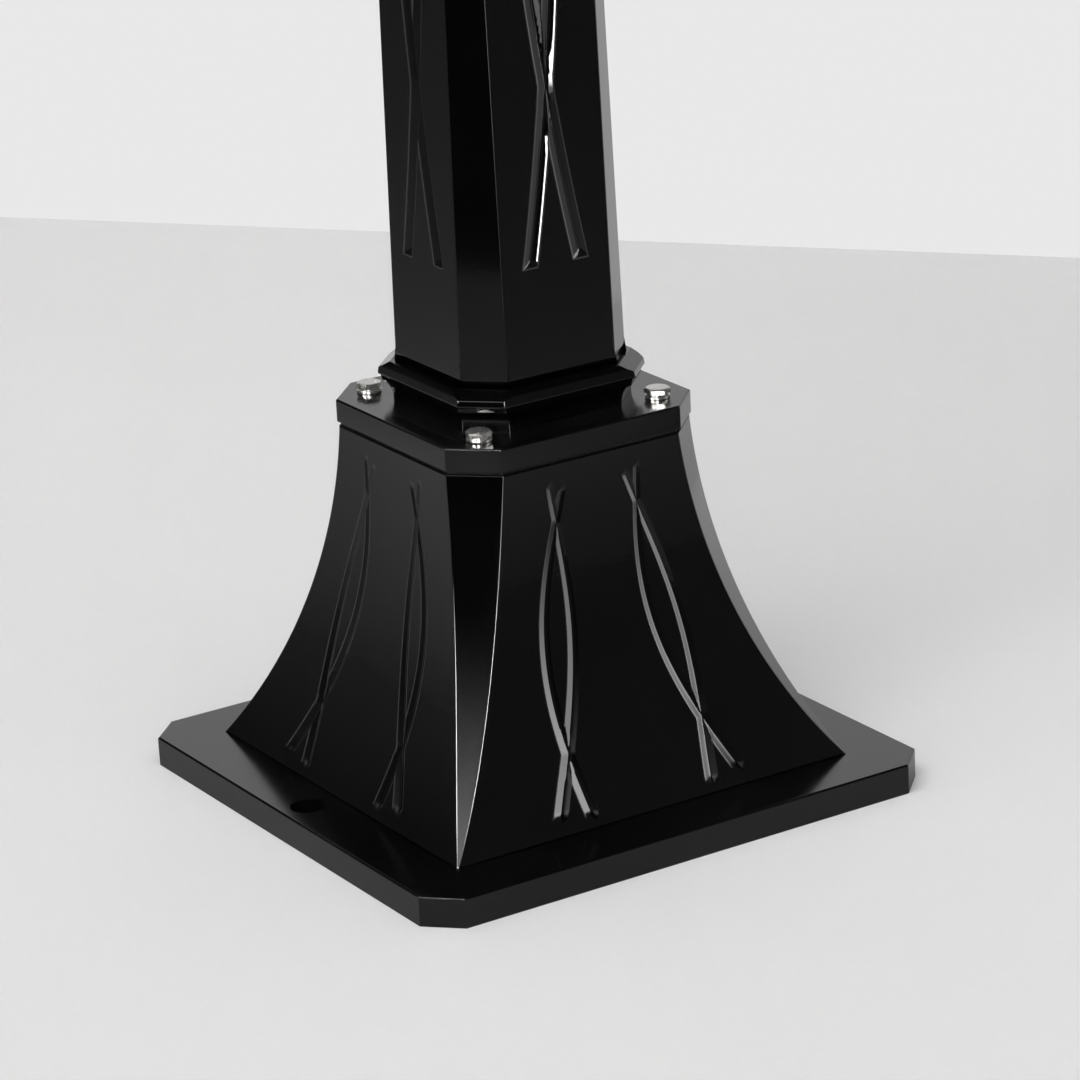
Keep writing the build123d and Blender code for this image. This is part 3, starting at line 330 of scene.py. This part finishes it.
def grooved_face(level, flat, paths, half_width, depth, bottoms, lows, highs, square_ends):
    """Face columns that follow mirrored grooves, how deep the face is cut there, and how near a rim it is.

    A path gives the groove's middle at each level: one path crosses its own mirror image, and two stay on
    their side of the face. Columns stand at set shares of the width on both sides of each path, sorted
    along the face, with a few more towards the middle and the edges. The cut is the depth times the wall
    share, rounded over at the rim; bottoms holds the left and right bottom lines.
    """
    shares = np.array([
        -1.3, -1.14, -1.06, -1.0, -0.93, -0.84, -0.5, -0.15, 0.06, 0.18,
        0.28, 0.4, 0.65, 0.84, 0.93, 1.0, 1.06, 1.14, 1.3,
    ])
    height, wide = level[:, None], half_width[:, None]
    middles = [path[:, None] for path in paths]
    slants = [np.cos(np.arctan(np.gradient(path, level)))[:, None] for path in paths]
    beside = [middle + shares * wide / slant for middle, slant in zip(middles, slants)]
    near = np.sort(np.concatenate(beside, axis=1), axis=1)
    crosses_middle = len(paths) == 1
    if crosses_middle:
        near = np.sort(np.concatenate([near, -near], axis=1), axis=1)
    outward = near[:, -1:] + (flat[:, None] - near[:, -1:]) * np.array([0.25, 0.5, 0.75, 1.0])
    if crosses_middle:
        across = np.concatenate([-outward[:, ::-1], near, outward], axis=1)
    else:
        inward = near[:, :1] * np.array([0.0, 0.35, 0.7])
        right = np.concatenate([inward, near, outward], axis=1)
        across = np.concatenate([-right[:, :0:-1], right], axis=1)
    inside = np.full_like(across, far_outside)
    left_rim = np.zeros_like(across)
    for middle, slant, low, high in zip(middles, slants, lows, highs):
        for hand, bottom in zip((-1, 1), bottoms):
            wall, left = groove_wall(
                across, height, hand * middle, slant, wide, bottom, low, high, square_ends,
            )
            inside = np.maximum(inside, wall)
            left_rim = np.maximum(left_rim, np.exp(-(left / rim_reach)**2))
    sink = depth[:, None] * 0.5 * (inside + np.sqrt(inside**2 + rounding))
    return across, sink, np.exp(-(inside / rim_reach)**2), left_rim * (inside < 0.25)


def mark_rims(mesh, rims, face, amount):
    """Writes the attribute for the painted rim highlight: the rims of the first rings on the four faces, and
    none elsewhere.
    """
    marks = np.zeros(len(mesh.vertices))
    rows, columns = face.shape
    rubbed = np.zeros((rows, 4, columns // 4))
    rubbed[:, :, :rims.shape[1]] = amount * rims[:, None, :]
    marks[:rows * columns] = rubbed.ravel()
    mesh.attributes.new("painted_rim_highlight", "FLOAT", "POINT").data.foreach_set("value", marks)


plate_top, pedestal_top = 10.5, 128.85
foot_half, top_half = 78.65, 48.6
foot_across, top_across = 156.9 / np.sqrt(2), 83.3 / np.sqrt(2)
side_hollow, corner_hollow = 0.263, 0.28
least_corner = 0.3


def pedestal_outline(level):
    """Half width and corner cut of the pedestal, from an arc on the sides and one across the corners.

    Each arc goes through its top, its foot and a middle point at a share of the way from top to foot.
    """
    middle = (plate_top + pedestal_top) / 2
    middle_half = top_half + (foot_half - top_half) * side_hollow
    half = arc_at(level, (top_half, pedestal_top), (middle_half, middle), (foot_half, plate_top))
    middle_across = top_across + (foot_across - top_across) * corner_hollow
    across = arc_at(level, (top_across, pedestal_top), (middle_across, middle), (foot_across, plate_top))
    return half, np.maximum(2 * half - np.sqrt(2) * across, least_corner)


def through(places, values, share):
    """The polynomial through the given values at the given places, at each share."""
    return np.polyval(np.polyfit(places, values, len(places) - 1), share)


groove_foot, groove_top = 17.2, 121.6
pedestal_rows = np.linspace(plate_top, pedestal_top, 190)
half, corner = pedestal_outline(pedestal_rows)
soft = np.minimum(0.6, 1.1 * corner)
fall = (groove_top - pedestal_rows) / (groove_top - groove_foot)
pair = through((0, 0.477, 1), (14.6, 21.2, 30.1), fall)
spread = through((0, 0.12, 0.477, 0.834, 1), (-5.5, 0.0, 10.9, 0.0, -11.0), fall)
width = 1.4 + 1.3 * np.clip(fall, 0, 1)
flat = half - corner - soft * np.tan(np.pi / 8)
across, sink, _, left_rims = grooved_face(
    pedestal_rows, flat, [pair + spread / 2, pair - spread / 2], width, 0.34 * width,
    bottoms=(0.28, 0.05), lows=(15.6, 17.5), highs=(118.9, 120.9), square_ends=False,
)
lean = np.gradient(half, pedestal_rows)[:, None]
outside = squared_rings(pedestal_rows, half, corner, soft, across, sink, lean)

pedestal_wall, deck, deck_hole = 4.0, 8.0, 28.0
deck_bottom = pedestal_top - deck
inner_soft = 0.2
inner_rows = np.linspace(deck_bottom, plate_top, 24)
inner_half, inner_corner = pedestal_outline(inner_rows)
inner_half = inner_half - pedestal_wall
inner_columns = np.linspace(-1, 1, across.shape[1])[None, :] * (inner_half - inner_corner)[:, None]
inside = squared_rings(inner_rows, inner_half, inner_corner, inner_soft, inner_columns)
opening = round_rings([pedestal_top, deck_bottom], deck_hole, outside[-1])

# Strength of the painted highlight on groove rims.
rim_highlight_amount = 0.7
pedestal_mesh = woven_mesh("pedestal_casting", np.concatenate([outside, opening, inside]))
# Only the left rims of the pedestal's grooves get the painted highlight.
mark_rims(pedestal_mesh, left_rims, outside[..., 0], rim_highlight_amount)
new_piece("pedestal_casting", pedestal_mesh, black_lacquer, "lamp", "black_paint", "pedestal")

# Pedestal screws: zinc-plated steel screws, countersunk, that go up through the plate into the pedestal.
# They are hidden under the plate.


def clouded(tree, shader, skin, colour, darkest, rough):
    """A colour that unevenness darkens to a share of itself, and a gloss that follows the grain."""
    darker = tuple(darkest * part for part in colour)
    tint = blended(tree, skin.outputs["Unevenness"], darker, colour)
    tree.links.new(tint, shader.inputs["Base Color"])
    gloss = span(tree, skin.outputs["Height"], 0.3, 0.7, rough * 0.8, rough * 1.25)
    tree.links.new(gloss, shader.inputs["Roughness"])


def plated_metal(name, colour, metallic, rough, grain):
    """Plated or bare metal: a faint cloud in its tint and a fine grain in gloss and height."""
    material, tree, shader = new_material(name)
    skin = place_group(tree, sprayed_skin, Broad=180.0, Peel=grain)
    clouded(tree, shader, skin, colour, 0.85, rough)
    shader.inputs["Metallic"].default_value = metallic
    bump(tree, shader, skin.outputs["Height"], 0.02, 0.0001)
    return material


zinc_steel = plated_metal("zinc_steel", (0.55, 0.56, 0.57), 1.0, 0.32, 2400.0)
dress(zinc_steel, "pedestal_screws")

# Flange gasket: a thin sheet of black rubber, stamped out and clamped between pedestal and flange.
# It is set in a little, so it reads as a dark seam.
dress(black_rubber, "flange_gasket")

# Foot flange: the cast aluminium plate that the post stands on, lacquered like the base plate, with softened
# edges. Four bolts near its corners hold it on the pedestal.
gasket_top, flange_top = 130.05, 138.05
flange_half, flange_corner, flange_soft = 48.85, 13.3, 0.5
under_soft, upper_soft, corner_narrowing = 0.15, 0.7, 0.586
cable_hole = 10.0
turn = np.linspace(0, np.pi / 2, 5)
flange_level = np.concatenate([
    gasket_top + under_soft * (1 - np.cos(turn)), flange_top - upper_soft * (1 - np.sin(turn)),
])
flange_in = np.concatenate([under_soft * (1 - np.sin(turn)), upper_soft * (1 - np.cos(turn))])
narrowed_corner = flange_corner - corner_narrowing * flange_in
flange_rings = squared_rings(flange_level, flange_half - flange_in, narrowed_corner, flange_soft)
bore = round_rings([flange_top, gasket_top], cable_hole, flange_rings[0])
flange_mesh = woven_mesh("flange_casting", np.concatenate([flange_rings, bore]))
new_piece("flange_casting", flange_mesh, plate_lacquer, "lamp", "black_paint", "foot_flange")

# Spring washers: split rings of square stainless wire, wound with a small rise from one end to the other.
# One lies under each bolt head, pressed nearly flat.
stainless = plated_metal("stainless_steel", (0.6, 0.59, 0.57), 0.95, 0.25, 5000.0)
bolt_place = 35.5
bolt_places = np.array([(x, y) for x in (-bolt_place, bolt_place) for y in (-bolt_place, bolt_place)])


def many(parts):
    """Several closed meshes as one: points stacked, faces counted on."""
    points, faces, count = [], [], 0
    for part_points, part_faces in parts:
        points.append(part_points)
        faces += [tuple(corner + count for corner in face) for face in part_faces]
        count += len(part_points)
    return np.concatenate(points), faces


def tube_faces(rows, columns):
    """Quads of a grid that is joined round its columns, with one flat face at its first and last row."""
    index = np.arange(rows * columns).reshape(rows, columns)
    beside = np.roll(index, -1, axis=1)
    quads = np.stack([index[:-1], beside[:-1], beside[1:], index[1:]], axis=2).reshape(-1, 4).tolist()
    return quads + [tuple(index[0, ::-1].tolist()), tuple(index[-1].tolist())]


def plain_mesh(name, points, faces):
    """A smooth mesh from points in millimetres and faces, sharp where faces meet at a steep angle."""
    mesh = bpy.data.meshes.new(name)
    mesh.from_pydata((points / 1000).tolist(), [], faces)
    mesh.polygons.foreach_set("use_smooth", np.ones(len(mesh.polygons), bool))
    mesh.set_sharp_from_angle(angle=np.radians(38))
    return mesh


def split_washer(place, turn):
    """A square wire carried round 348 degrees of a circle while it rises, with flat ends."""
    steps, gap, rise = 49, np.radians(6), 0.28
    section = np.array([
        (2.8, 0.1), (2.9, 0.0), (4.1, 0.0), (4.3, 0.2), (4.3, 0.72), (4.1, 0.92), (2.9, 0.92), (2.8, 0.82),
    ])
    radius, lift = section[:, 0][None, :], section[:, 1][None, :]
    angle = turn + np.linspace(gap, 2 * np.pi - gap, steps)[:, None]
    level = flange_top + lift + np.linspace(0, rise, steps)[:, None]
    points = np.stack([place[0] + radius * np.cos(angle), place[1] + radius * np.sin(angle), level], axis=2)
    return points.reshape(-1, 3), tube_faces(steps, len(section))


washer_turns = np.radians([250, 120, 200, 40])
washers = many([split_washer(place, turn) for place, turn in zip(bolt_places, washer_turns)])
washer_mesh = plain_mesh("split_washers", *washers)
new_piece("split_washers", washer_mesh, stainless, "lamp", "stainless_steel", "spring_washers")

# Flange bolts: stainless bolts with low hexagon heads whose corners are turned off in a shallow cone.
# They go through washer, flange and gasket into threads in the pedestal's deck.


def hexagon_bolt(place, turn, bottom, head, across_flats, shank, end):
    """A bolt as rings of radius and level: a flat top, a cone that cuts the corners, flats, seat and shank.

    The hexagon's radius in a direction is half the width across flats over the cosine from the nearest flat.
    """
    columns = 72
    angle = np.linspace(0, 2 * np.pi, columns, endpoint=False)
    inner = across_flats / 2
    hexagon = inner / np.cos((angle + np.pi / 6) % (np.pi / 3) - np.pi / 6)
    cone = np.tan(np.radians(30)) * np.maximum(hexagon - 0.94 * inner, 0)
    top = bottom + head
    rings = [
        (0.02, end), (shank / 2 - 0.4, end), (shank / 2, end + 0.4), (shank / 2, bottom),
        (0.9 * inner, bottom), (0.9 * inner, bottom + 0.3),
        (hexagon - 0.22, bottom + 0.42), (hexagon - 0.1, bottom + 0.55),
        (hexagon, top - cone - 0.1), (hexagon - 0.12, top - cone + 0.03),
        (0.94 * inner, top - 0.02), (0.90 * inner, top), (0.55 * inner, top), (0.02, top),
    ]
    radius = np.array([np.broadcast_to(ring[0], columns) for ring in rings])
    level = np.array([np.broadcast_to(ring[1], columns) for ring in rings])
    angle = angle + turn
    points = np.stack([place[0] + radius * np.cos(angle), place[1] + radius * np.sin(angle), level], axis=2)
    return points.reshape(-1, 3), tube_faces(len(rings), columns)


bolt_turns = np.radians([47, 20, 58, 52])
bolt_sizes = {"bottom": flange_top + 1.2, "head": 2.3, "across_flats": 8.0, "shank": 5.0, "end": 115.85}
bolts = many([hexagon_bolt(place, turn, **bolt_sizes) for place, turn in zip(bolt_places, bolt_turns)])
bolt_mesh = plain_mesh("hexagon_bolts", *bolts)
new_piece("hexagon_bolts", bolt_mesh, stainless, "lamp", "stainless_steel", "flange_bolts")

# Foot collar: a cast moulding in glossy lacquer, clamped between flange and post by the post's screws.
# A hollow under a narrow band widens it, and above the band its corners fall away in flat cuts to a
# ledge round the post. Each row of upper is a level, a half width and a half width over the corners.
collar_top, cove_bottom, cove_height = 152.15, 138.3, 6.1
neck_half, neck_across = 33.7, 39.53
collar_soft = 0.6
cove = np.linspace(0, 1, 13)
cove_out = 1 - np.sqrt(1 - cove**2)
upper = np.array([
    (145.6, 36.45, 43.4), (146.7, 36.6, 43.65), (146.95, 36.8, 43.95), (147.05, 37.05, 44.3),
    (147.2, 37.2, 44.55), (147.35, 37.25, 44.62), (147.75, 37.25, 44.62), (148.0, 37.22, 44.58),
    (149.1, 37.05, 44.4), (149.45, 37.0, 44.25), (149.65, 36.97, 43.98), (149.85, 36.94, 43.65),
    (150.4, 36.85, 42.7), (150.75, 36.65, 42.1), (151.95, 35.5, 40.0), (152.08, 35.38, 39.78),
    (152.13, 35.28, 39.6), (collar_top, 35.1, 39.4), (collar_top, 32.62, 38.0),
])
upper_level, upper_half, upper_across = upper.T
collar_level = np.concatenate([[flange_top], cove_bottom + cove_height * cove, upper_level])
collar_half = np.concatenate([[neck_half], neck_half + 2.5 * cove_out, upper_half])
collar_across = np.concatenate([[neck_across], neck_across + 3.6 * cove_out, upper_across])
collar_corner = 2 * collar_half - np.sqrt(2) * collar_across
collar_rings = squared_rings(collar_level, collar_half, collar_corner, collar_soft)
bore = round_rings([collar_top, flange_top], cable_hole, collar_rings[0])
collar_mesh = woven_mesh("collar_moulding", np.concatenate([collar_rings, bore]))
new_piece("collar_moulding", collar_mesh, black_lacquer, "lamp", "black_paint", "foot_collar")

# Post: a hollow cast tube in glossy lacquer, tapered and square with cut corners, screwed on from below.
# A pair of long shallow V-grooves bows apart and crosses on each face; their ends are cut square.
post_top, bore_foot, bore_top = 585.0, 166.8, 577.0
post_soft = 0.7


def tapered(level, foot, top):
    """A size that changes evenly from the post's foot to its top."""
    share = (level - collar_top) / (post_top - collar_top)
    return foot + (top - foot) * share


post_rows = np.unique(np.concatenate([
    np.linspace(collar_top, post_top, 150), np.linspace(188.5, 198.5, 26), np.linspace(573.5, 583.5, 26),
]))
half = tapered(post_rows, 32.56, 25.75)
corner = tapered(post_rows, 11.39, 5.2)
flat = half - corner - post_soft * np.tan(np.pi / 8)
post_path = arc_at(post_rows, (9.7, 192.0), (-9.1, 386.0), (9.7, 580.0))
width = np.full(len(post_rows), 2.85)
across, sink, rims, _ = grooved_face(
    post_rows, flat, [post_path], width, 0.5 * width,
    bottoms=(0.3, 0.3), lows=(190.9,), highs=(581.1,), square_ends=True,
)
lean = np.gradient(half, post_rows)[:, None]
outside = squared_rings(post_rows, half, corner, post_soft, across, sink, lean)
inner_rows = np.linspace(bore_top, bore_foot, 3)
inner_half = tapered(inner_rows, 29.06, 22.25)
inner_corner = tapered(inner_rows, 9.34, 3.15)
inner_columns = np.linspace(-1, 1, across.shape[1])[None, :] * (inner_half - inner_corner)[:, None]
inside = squared_rings(inner_rows, inner_half, inner_corner, inner_soft, inner_columns)
nipple_hole = 5.3
top_hole = round_rings([post_top, bore_top], nipple_hole, outside[-1])
foot_hole = round_rings([bore_foot, collar_top], cable_hole, outside[0])
post_mesh = woven_mesh("post_casting", np.concatenate([outside, top_hole, inside, foot_hole]))
# Both rims of each groove on the post get the painted highlight.
mark_rims(post_mesh, rims, outside[..., 0], rim_highlight_amount)
new_piece("post_casting", post_mesh, black_lacquer, "lamp", "black_paint", "post")
dress(zinc_steel, "post_screws")

# Terminal bracket and block: a bent angle of zinc-plated steel, hung under the flange by two screws, and
# a block of moulded grey plastic that is screwed on it.
dress(zinc_steel, "terminal_bracket", "bracket_screws", "block_screws")


def moulded_plastic(name, colour, rough):
    """Moulded plastic: a faint flow pattern in colour and gloss, and a fine skin."""
    material, tree, shader = new_material(name)
    skin = place_group(tree, sprayed_skin, Broad=70.0, Peel=1400.0)
    clouded(tree, shader, skin, colour, 0.9, rough)
    bump(tree, shader, skin.outputs["Height"], 0.06, 0.0002)
    return material


dress(moulded_plastic("grey_plastic", (0.42, 0.43, 0.44), 0.4), "terminal_block")

# Lamp lead: a round lead in a sheath of black rubber, which runs straight up inside the post
# from the terminal block to the lamp holder.
dress(black_rubber, "lamp_lead")

# Capital, lantern pan and lantern frame: lacquered aluminium castings stacked on the post's top. A plated
# hollow nipple with nuts ties capital and pan to the post, and screws hold the frame on the pan.
dress(black_lacquer, "capital", "lantern_pan", "lantern_frame")
dress(zinc_steel, "head_nipple", "nipple_nuts", "frame_screws")

# Opal panels: four leaning plates of milky acrylic that let soft light through. They stand on the frame's
# ledge, and a zinc-plated ring screwed on the frame keeps them in.


def opal(name, colour, rough):
    """Opal plastic: soft light passes into it, with a faint cloud in its colour."""
    material, tree, shader = new_material(name)
    skin = place_group(tree, sprayed_skin, Broad=45.0, Peel=900.0)
    clouded(tree, shader, skin, colour, 0.94, rough)
    shader.inputs["Subsurface Weight"].default_value = 0.4
    shader.inputs["Subsurface Radius"].default_value = (0.004, 0.004, 0.0036)
    shader.inputs["Subsurface Scale"].default_value = 1.0
    return material


opal_acrylic = opal("opal_acrylic", (0.86, 0.85, 0.82), 0.28)
dress(opal_acrylic, "diffuser_front", "diffuser_right", "diffuser_back", "diffuser_left")
dress(zinc_steel, "panel_retainer", "retainer_screws")

# Lamp holder: a round body of glazed white ceramic, screwed on the nipple, with a brass shell that grips
# the bulb's cap and a brass contact under the bulb's tip.
brass = plated_metal("turned_brass", (0.78, 0.58, 0.28), 1.0, 0.26, 2000.0)
dress(moulded_plastic("white_glaze", (0.84, 0.83, 0.80), 0.16), "lamp_holder")
dress(brass, "holder_shell", "holder_contact")

# Bulb: a pressed aluminium cap, a cone of white plastic and an opal globe, fixed together.
# It screws into the holder's shell.
dress(plated_metal("cap_metal", (0.72, 0.72, 0.72), 1.0, 0.25, 1600.0), "bulb_cap")
dress(moulded_plastic("white_plastic", (0.82, 0.82, 0.81), 0.3), "bulb_body")
dress(opal("opal_globe", (0.90, 0.89, 0.86), 0.3), "bulb_globe")

# Roof: a hollow lacquered casting that lifts off a rubber gasket, with a white reflector sheet screwed
# under it and a turned finial held by a nut. Two brass thumb screws pinch its skirt on the frame.
dress(black_lacquer, "roof", "finial")
dress(black_rubber, "roof_gasket")
dress(lacquer("white_lacquer", (0.80, 0.80, 0.78), (0.84, 0.84, 0.82), 0.4, 0.5, 0.0), "roof_reflector")
dress(zinc_steel, "reflector_screws", "finial_lock_nut")
dress(brass, "thumb_screw_left", "thumb_screw_right")

# Floor: pale paper that ends at a pale wall. In reflections its colour is painted darker, a painted shade
# that darkens with the square of the distance from the light, but stays pale behind on the right, and past
# its near sheet it isn't mirrored.
view_right = np.array([0.85117, -0.52489, 0.0])
view_ahead = np.array([0.52489, 0.85117, 0.0])


def along(tree, vector, direction):
    """How far a vector reaches along a direction."""
    node = tree.nodes.new("ShaderNodeVectorMath")
    node.operation = "DOT_PRODUCT"
    tree.links.new(vector, node.inputs[0])
    node.inputs[1].default_value = tuple(direction)
    return node.outputs["Value"]


paper, tree, shader = new_material("floor_paper")
place = tree.nodes.new("ShaderNodeTexCoord").outputs["Object"]
rightward = along(tree, place, view_right)


def left_to_right(left, right):
    """One value on the floor's left and one on its right, with an even change just left of the middle."""
    return span(tree, rightward, -0.1, 0.0, left, right)


squared = tree.nodes.new("ShaderNodeVectorMath")
squared.operation = "DOT_PRODUCT"
tree.links.new(place, squared.inputs[0])
tree.links.new(place, squared.inputs[1])
# Painted shade for mirrored rays: the floor's colour goes towards black, except for a pale share that falls
# with the square of the distance.
lit = arithmetic(tree, "DIVIDE", left_to_right(0.092, 0.066), squared.outputs["Value"])
shade = arithmetic(tree, "MAXIMUM", arithmetic(tree, "SUBTRACT", 0.985, lit), left_to_right(0.44, 0.5))
front = span(tree, along(tree, place, view_ahead), -0.1, 0.45, 1.0, 0.0)
shade = arithmetic(tree, "MULTIPLY", shade, arithmetic(tree, "MAXIMUM", front, left_to_right(1.0, 0.0)))
mirrored = tree.nodes.new("ShaderNodeLightPath").outputs["Is Glossy Ray"]
fibre = place_group(tree, sprayed_skin, Broad=3.0, Peel=900.0)
pale = blended(tree, fibre.outputs["Unevenness"], (0.79, 0.79, 0.79), (0.81, 0.81, 0.81))
shaded = blended(tree, arithmetic(tree, "MULTIPLY", shade, mirrored), pale, (0.0, 0.0, 0.0))
tree.links.new(shaded, shader.inputs["Base Color"])
shader.inputs["Roughness"].default_value = 0.9
shader.inputs["Specular IOR Level"].default_value = 0.1


def floor_sheet(name, corners, faces):
    """A flat sheet of the floor from corners given as rightward and ahead, in metres."""
    corners = np.array(corners)
    points = corners[:, :1] * view_right + corners[:, 1:] * view_ahead
    mesh = bpy.data.meshes.new(name)
    mesh.from_pydata(points.tolist(), [], faces)
    mesh.materials.append(paper)
    sheet = bpy.data.objects.new(name, mesh)
    bpy.context.scene.collection.objects.link(sheet)
    return sheet


near_corners = [(-1.7, -0.7), (1.3, -0.7), (1.3, -0.2), (0.3, -0.2), (0.3, 0.599), (-1.7, 1.272)]
far_corners = [
    (2.673, -0.2), (4.158, -0.7), (6.0, -1.319), (6.0, -6.0), (-6.0, -6.0), (-6.0, -0.7), (-6.0, 2.719),
]
far_faces = [(3, 2, 6, 4), (1, 7, 6, 2), (11, 0, 5, 12), (10, 9, 8, 7, 1, 0, 11)]
floor_sheet("floor", near_corners, [(0, 1, 2, 3, 4, 5)])
wide_floor = floor_sheet("wide_floor", near_corners + far_corners, far_faces)
wide_floor.visible_glossy = False

# Studio: one soft box above on the left lights the object, with an even pale room round it. What the lacquer
# mirrors are a bright wall behind on the right, standing cards, two narrow strips and a glow overhead.


def compass(azimuth):
    """The level direction of an azimuth: 0 is the front of the light, positive to the right."""
    return np.array([np.sin(np.radians(azimuth)), -np.cos(np.radians(azimuth)), 0.0])


def soft_box(name, azimuth, elevation, distance, side, level):
    """A square lamp aimed at the pedestal; level is its brightness beside that of a white floor."""
    rise = np.radians(elevation)
    place = distance * (np.cos(rise) * compass(azimuth) + np.array([0.0, 0.0, np.sin(rise)]))
    lamp = bpy.data.lights.new(name, "AREA")
    lamp.shape = "RECTANGLE"
    lamp.size = side
    lamp.size_y = side
    lamp.energy = level * np.pi * side**2
    holder = bpy.data.objects.new(name, lamp)
    bpy.context.scene.collection.objects.link(holder)
    holder.location = place + (0, 0, 0.06)
    holder.rotation_euler = Vector(-place).to_track_quat("-Z", "Y").to_euler()
    holder.visible_camera = False
    holder.visible_glossy = False


soft_box("top_box", -64, 56, 2.6, 1.2, 4.6)

world = bpy.data.worlds.new("studio")
bpy.context.scene.world = world
world.use_nodes = True
tree = world.node_tree
heading = tree.nodes.new("ShaderNodeTexCoord").outputs["Generated"]
rise = along(tree, heading, (0, 0, 1))


def product(first, *others):
    """Several values of the world's tree multiplied."""
    for other in others:
        first = arithmetic(tree, "MULTIPLY", first, other)
    return first


def card(azimuth, inner, outer, low, high, dim, bright, top):
    """A standing card in the reflections: full within the inner share aside, gone at the outer one.

    Its brightness goes from dim to bright between two rises. It ends below the horizon and at the top.
    """
    aside = arithmetic(tree, "ABSOLUTE", along(tree, heading, compass(azimuth + 90)), 0.0)
    return product(
        span(tree, aside, inner, outer, 1.0, 0.0),
        span(tree, rise, low, high, dim, bright),
        span(tree, along(tree, heading, compass(azimuth)), 0.2, 0.3, 0.0, 1.0),
        span(tree, rise, -0.5, -0.4, 0.0, 1.0),
        span(tree, rise, top, top + 0.12, 1.0, 0.0),
    )


overhead = product(
    arithmetic(tree, "POWER", span(tree, rise, 0.15, 1.0, 0.0, 1.0), 3.0),
    span(tree, along(tree, heading, compass(-64)), 0.1, 0.5, 0.0, 5.9),
    span(tree, rise, 0.83, 0.92, 1.0, 0.0),
)
bright_wall = span(tree, along(tree, heading, compass(140)), 0.68, 0.88, 0.0, 0.8)
mirrored = arithmetic(tree, "ADD", overhead, bright_wall)
for card_sizes in (
    (30, 0.5, 0.8, -0.1, 0.05, 0.1, 0.08, 0.5),
    (-148, 0.6, 0.8, -0.06, 0.13, 0.14, 0.045, 0.4),
    (76, 0.16, 0.3, -0.6, 0.3, 0.6, 0.3, 0.4),
    (55, 0.12, 0.25, -0.3, 0.17, 0.2, 6.5, 0.3),
    (-37, 0.04, 0.06, -0.25, 0.4, 2.5, 150.0, 0.7),
    (-79, 0.07, 0.09, 0.12, 0.4, 0.0, 120.0, 0.7),
):
    mirrored = arithmetic(tree, "ADD", mirrored, card(*card_sizes))
paths = tree.nodes.new("ShaderNodeLightPath").outputs
room_light, wall_seen = 0.69, 0.81
level = product(mirrored, paths["Is Glossy Ray"])
level = arithmetic(tree, "ADD", level, product(paths["Is Diffuse Ray"], room_light))
level = arithmetic(tree, "ADD", level, product(paths["Is Camera Ray"], wall_seen))
tree.links.new(level, tree.nodes["Background"].inputs["Strength"])
tree.nodes["Background"].inputs["Color"].default_value = (1, 1, 1, 1)

# Camera: a long lens at the photograph's place, in front on the left and 0.6 m above the ground.
# It is tipped down and turned a little about its own axis.
focal_pixels, frame_pixels = 4526.96, 1080
scene = bpy.context.scene
scene.view_settings.view_transform = "Standard"
camera = bpy.data.cameras.new("camera")
camera.sensor_width = 36
camera.lens = focal_pixels / frame_pixels * camera.sensor_width
camera.sensor_fit = "HORIZONTAL"
camera.clip_end = 20
camera_holder = bpy.data.objects.new("camera", camera)
scene.collection.objects.link(camera_holder)
camera_place = (-0.764441, -1.252647, 0.598969)
camera_turn = Matrix((
    (0.84103, 0.21739, -0.49537),
    (-0.53875, 0.25373, -0.80334),
    (-0.04895, 0.94253, 0.33052),
))
camera_holder.matrix_world = Matrix.Translation(camera_place) @ camera_turn.to_4x4()
scene.camera = camera_holder
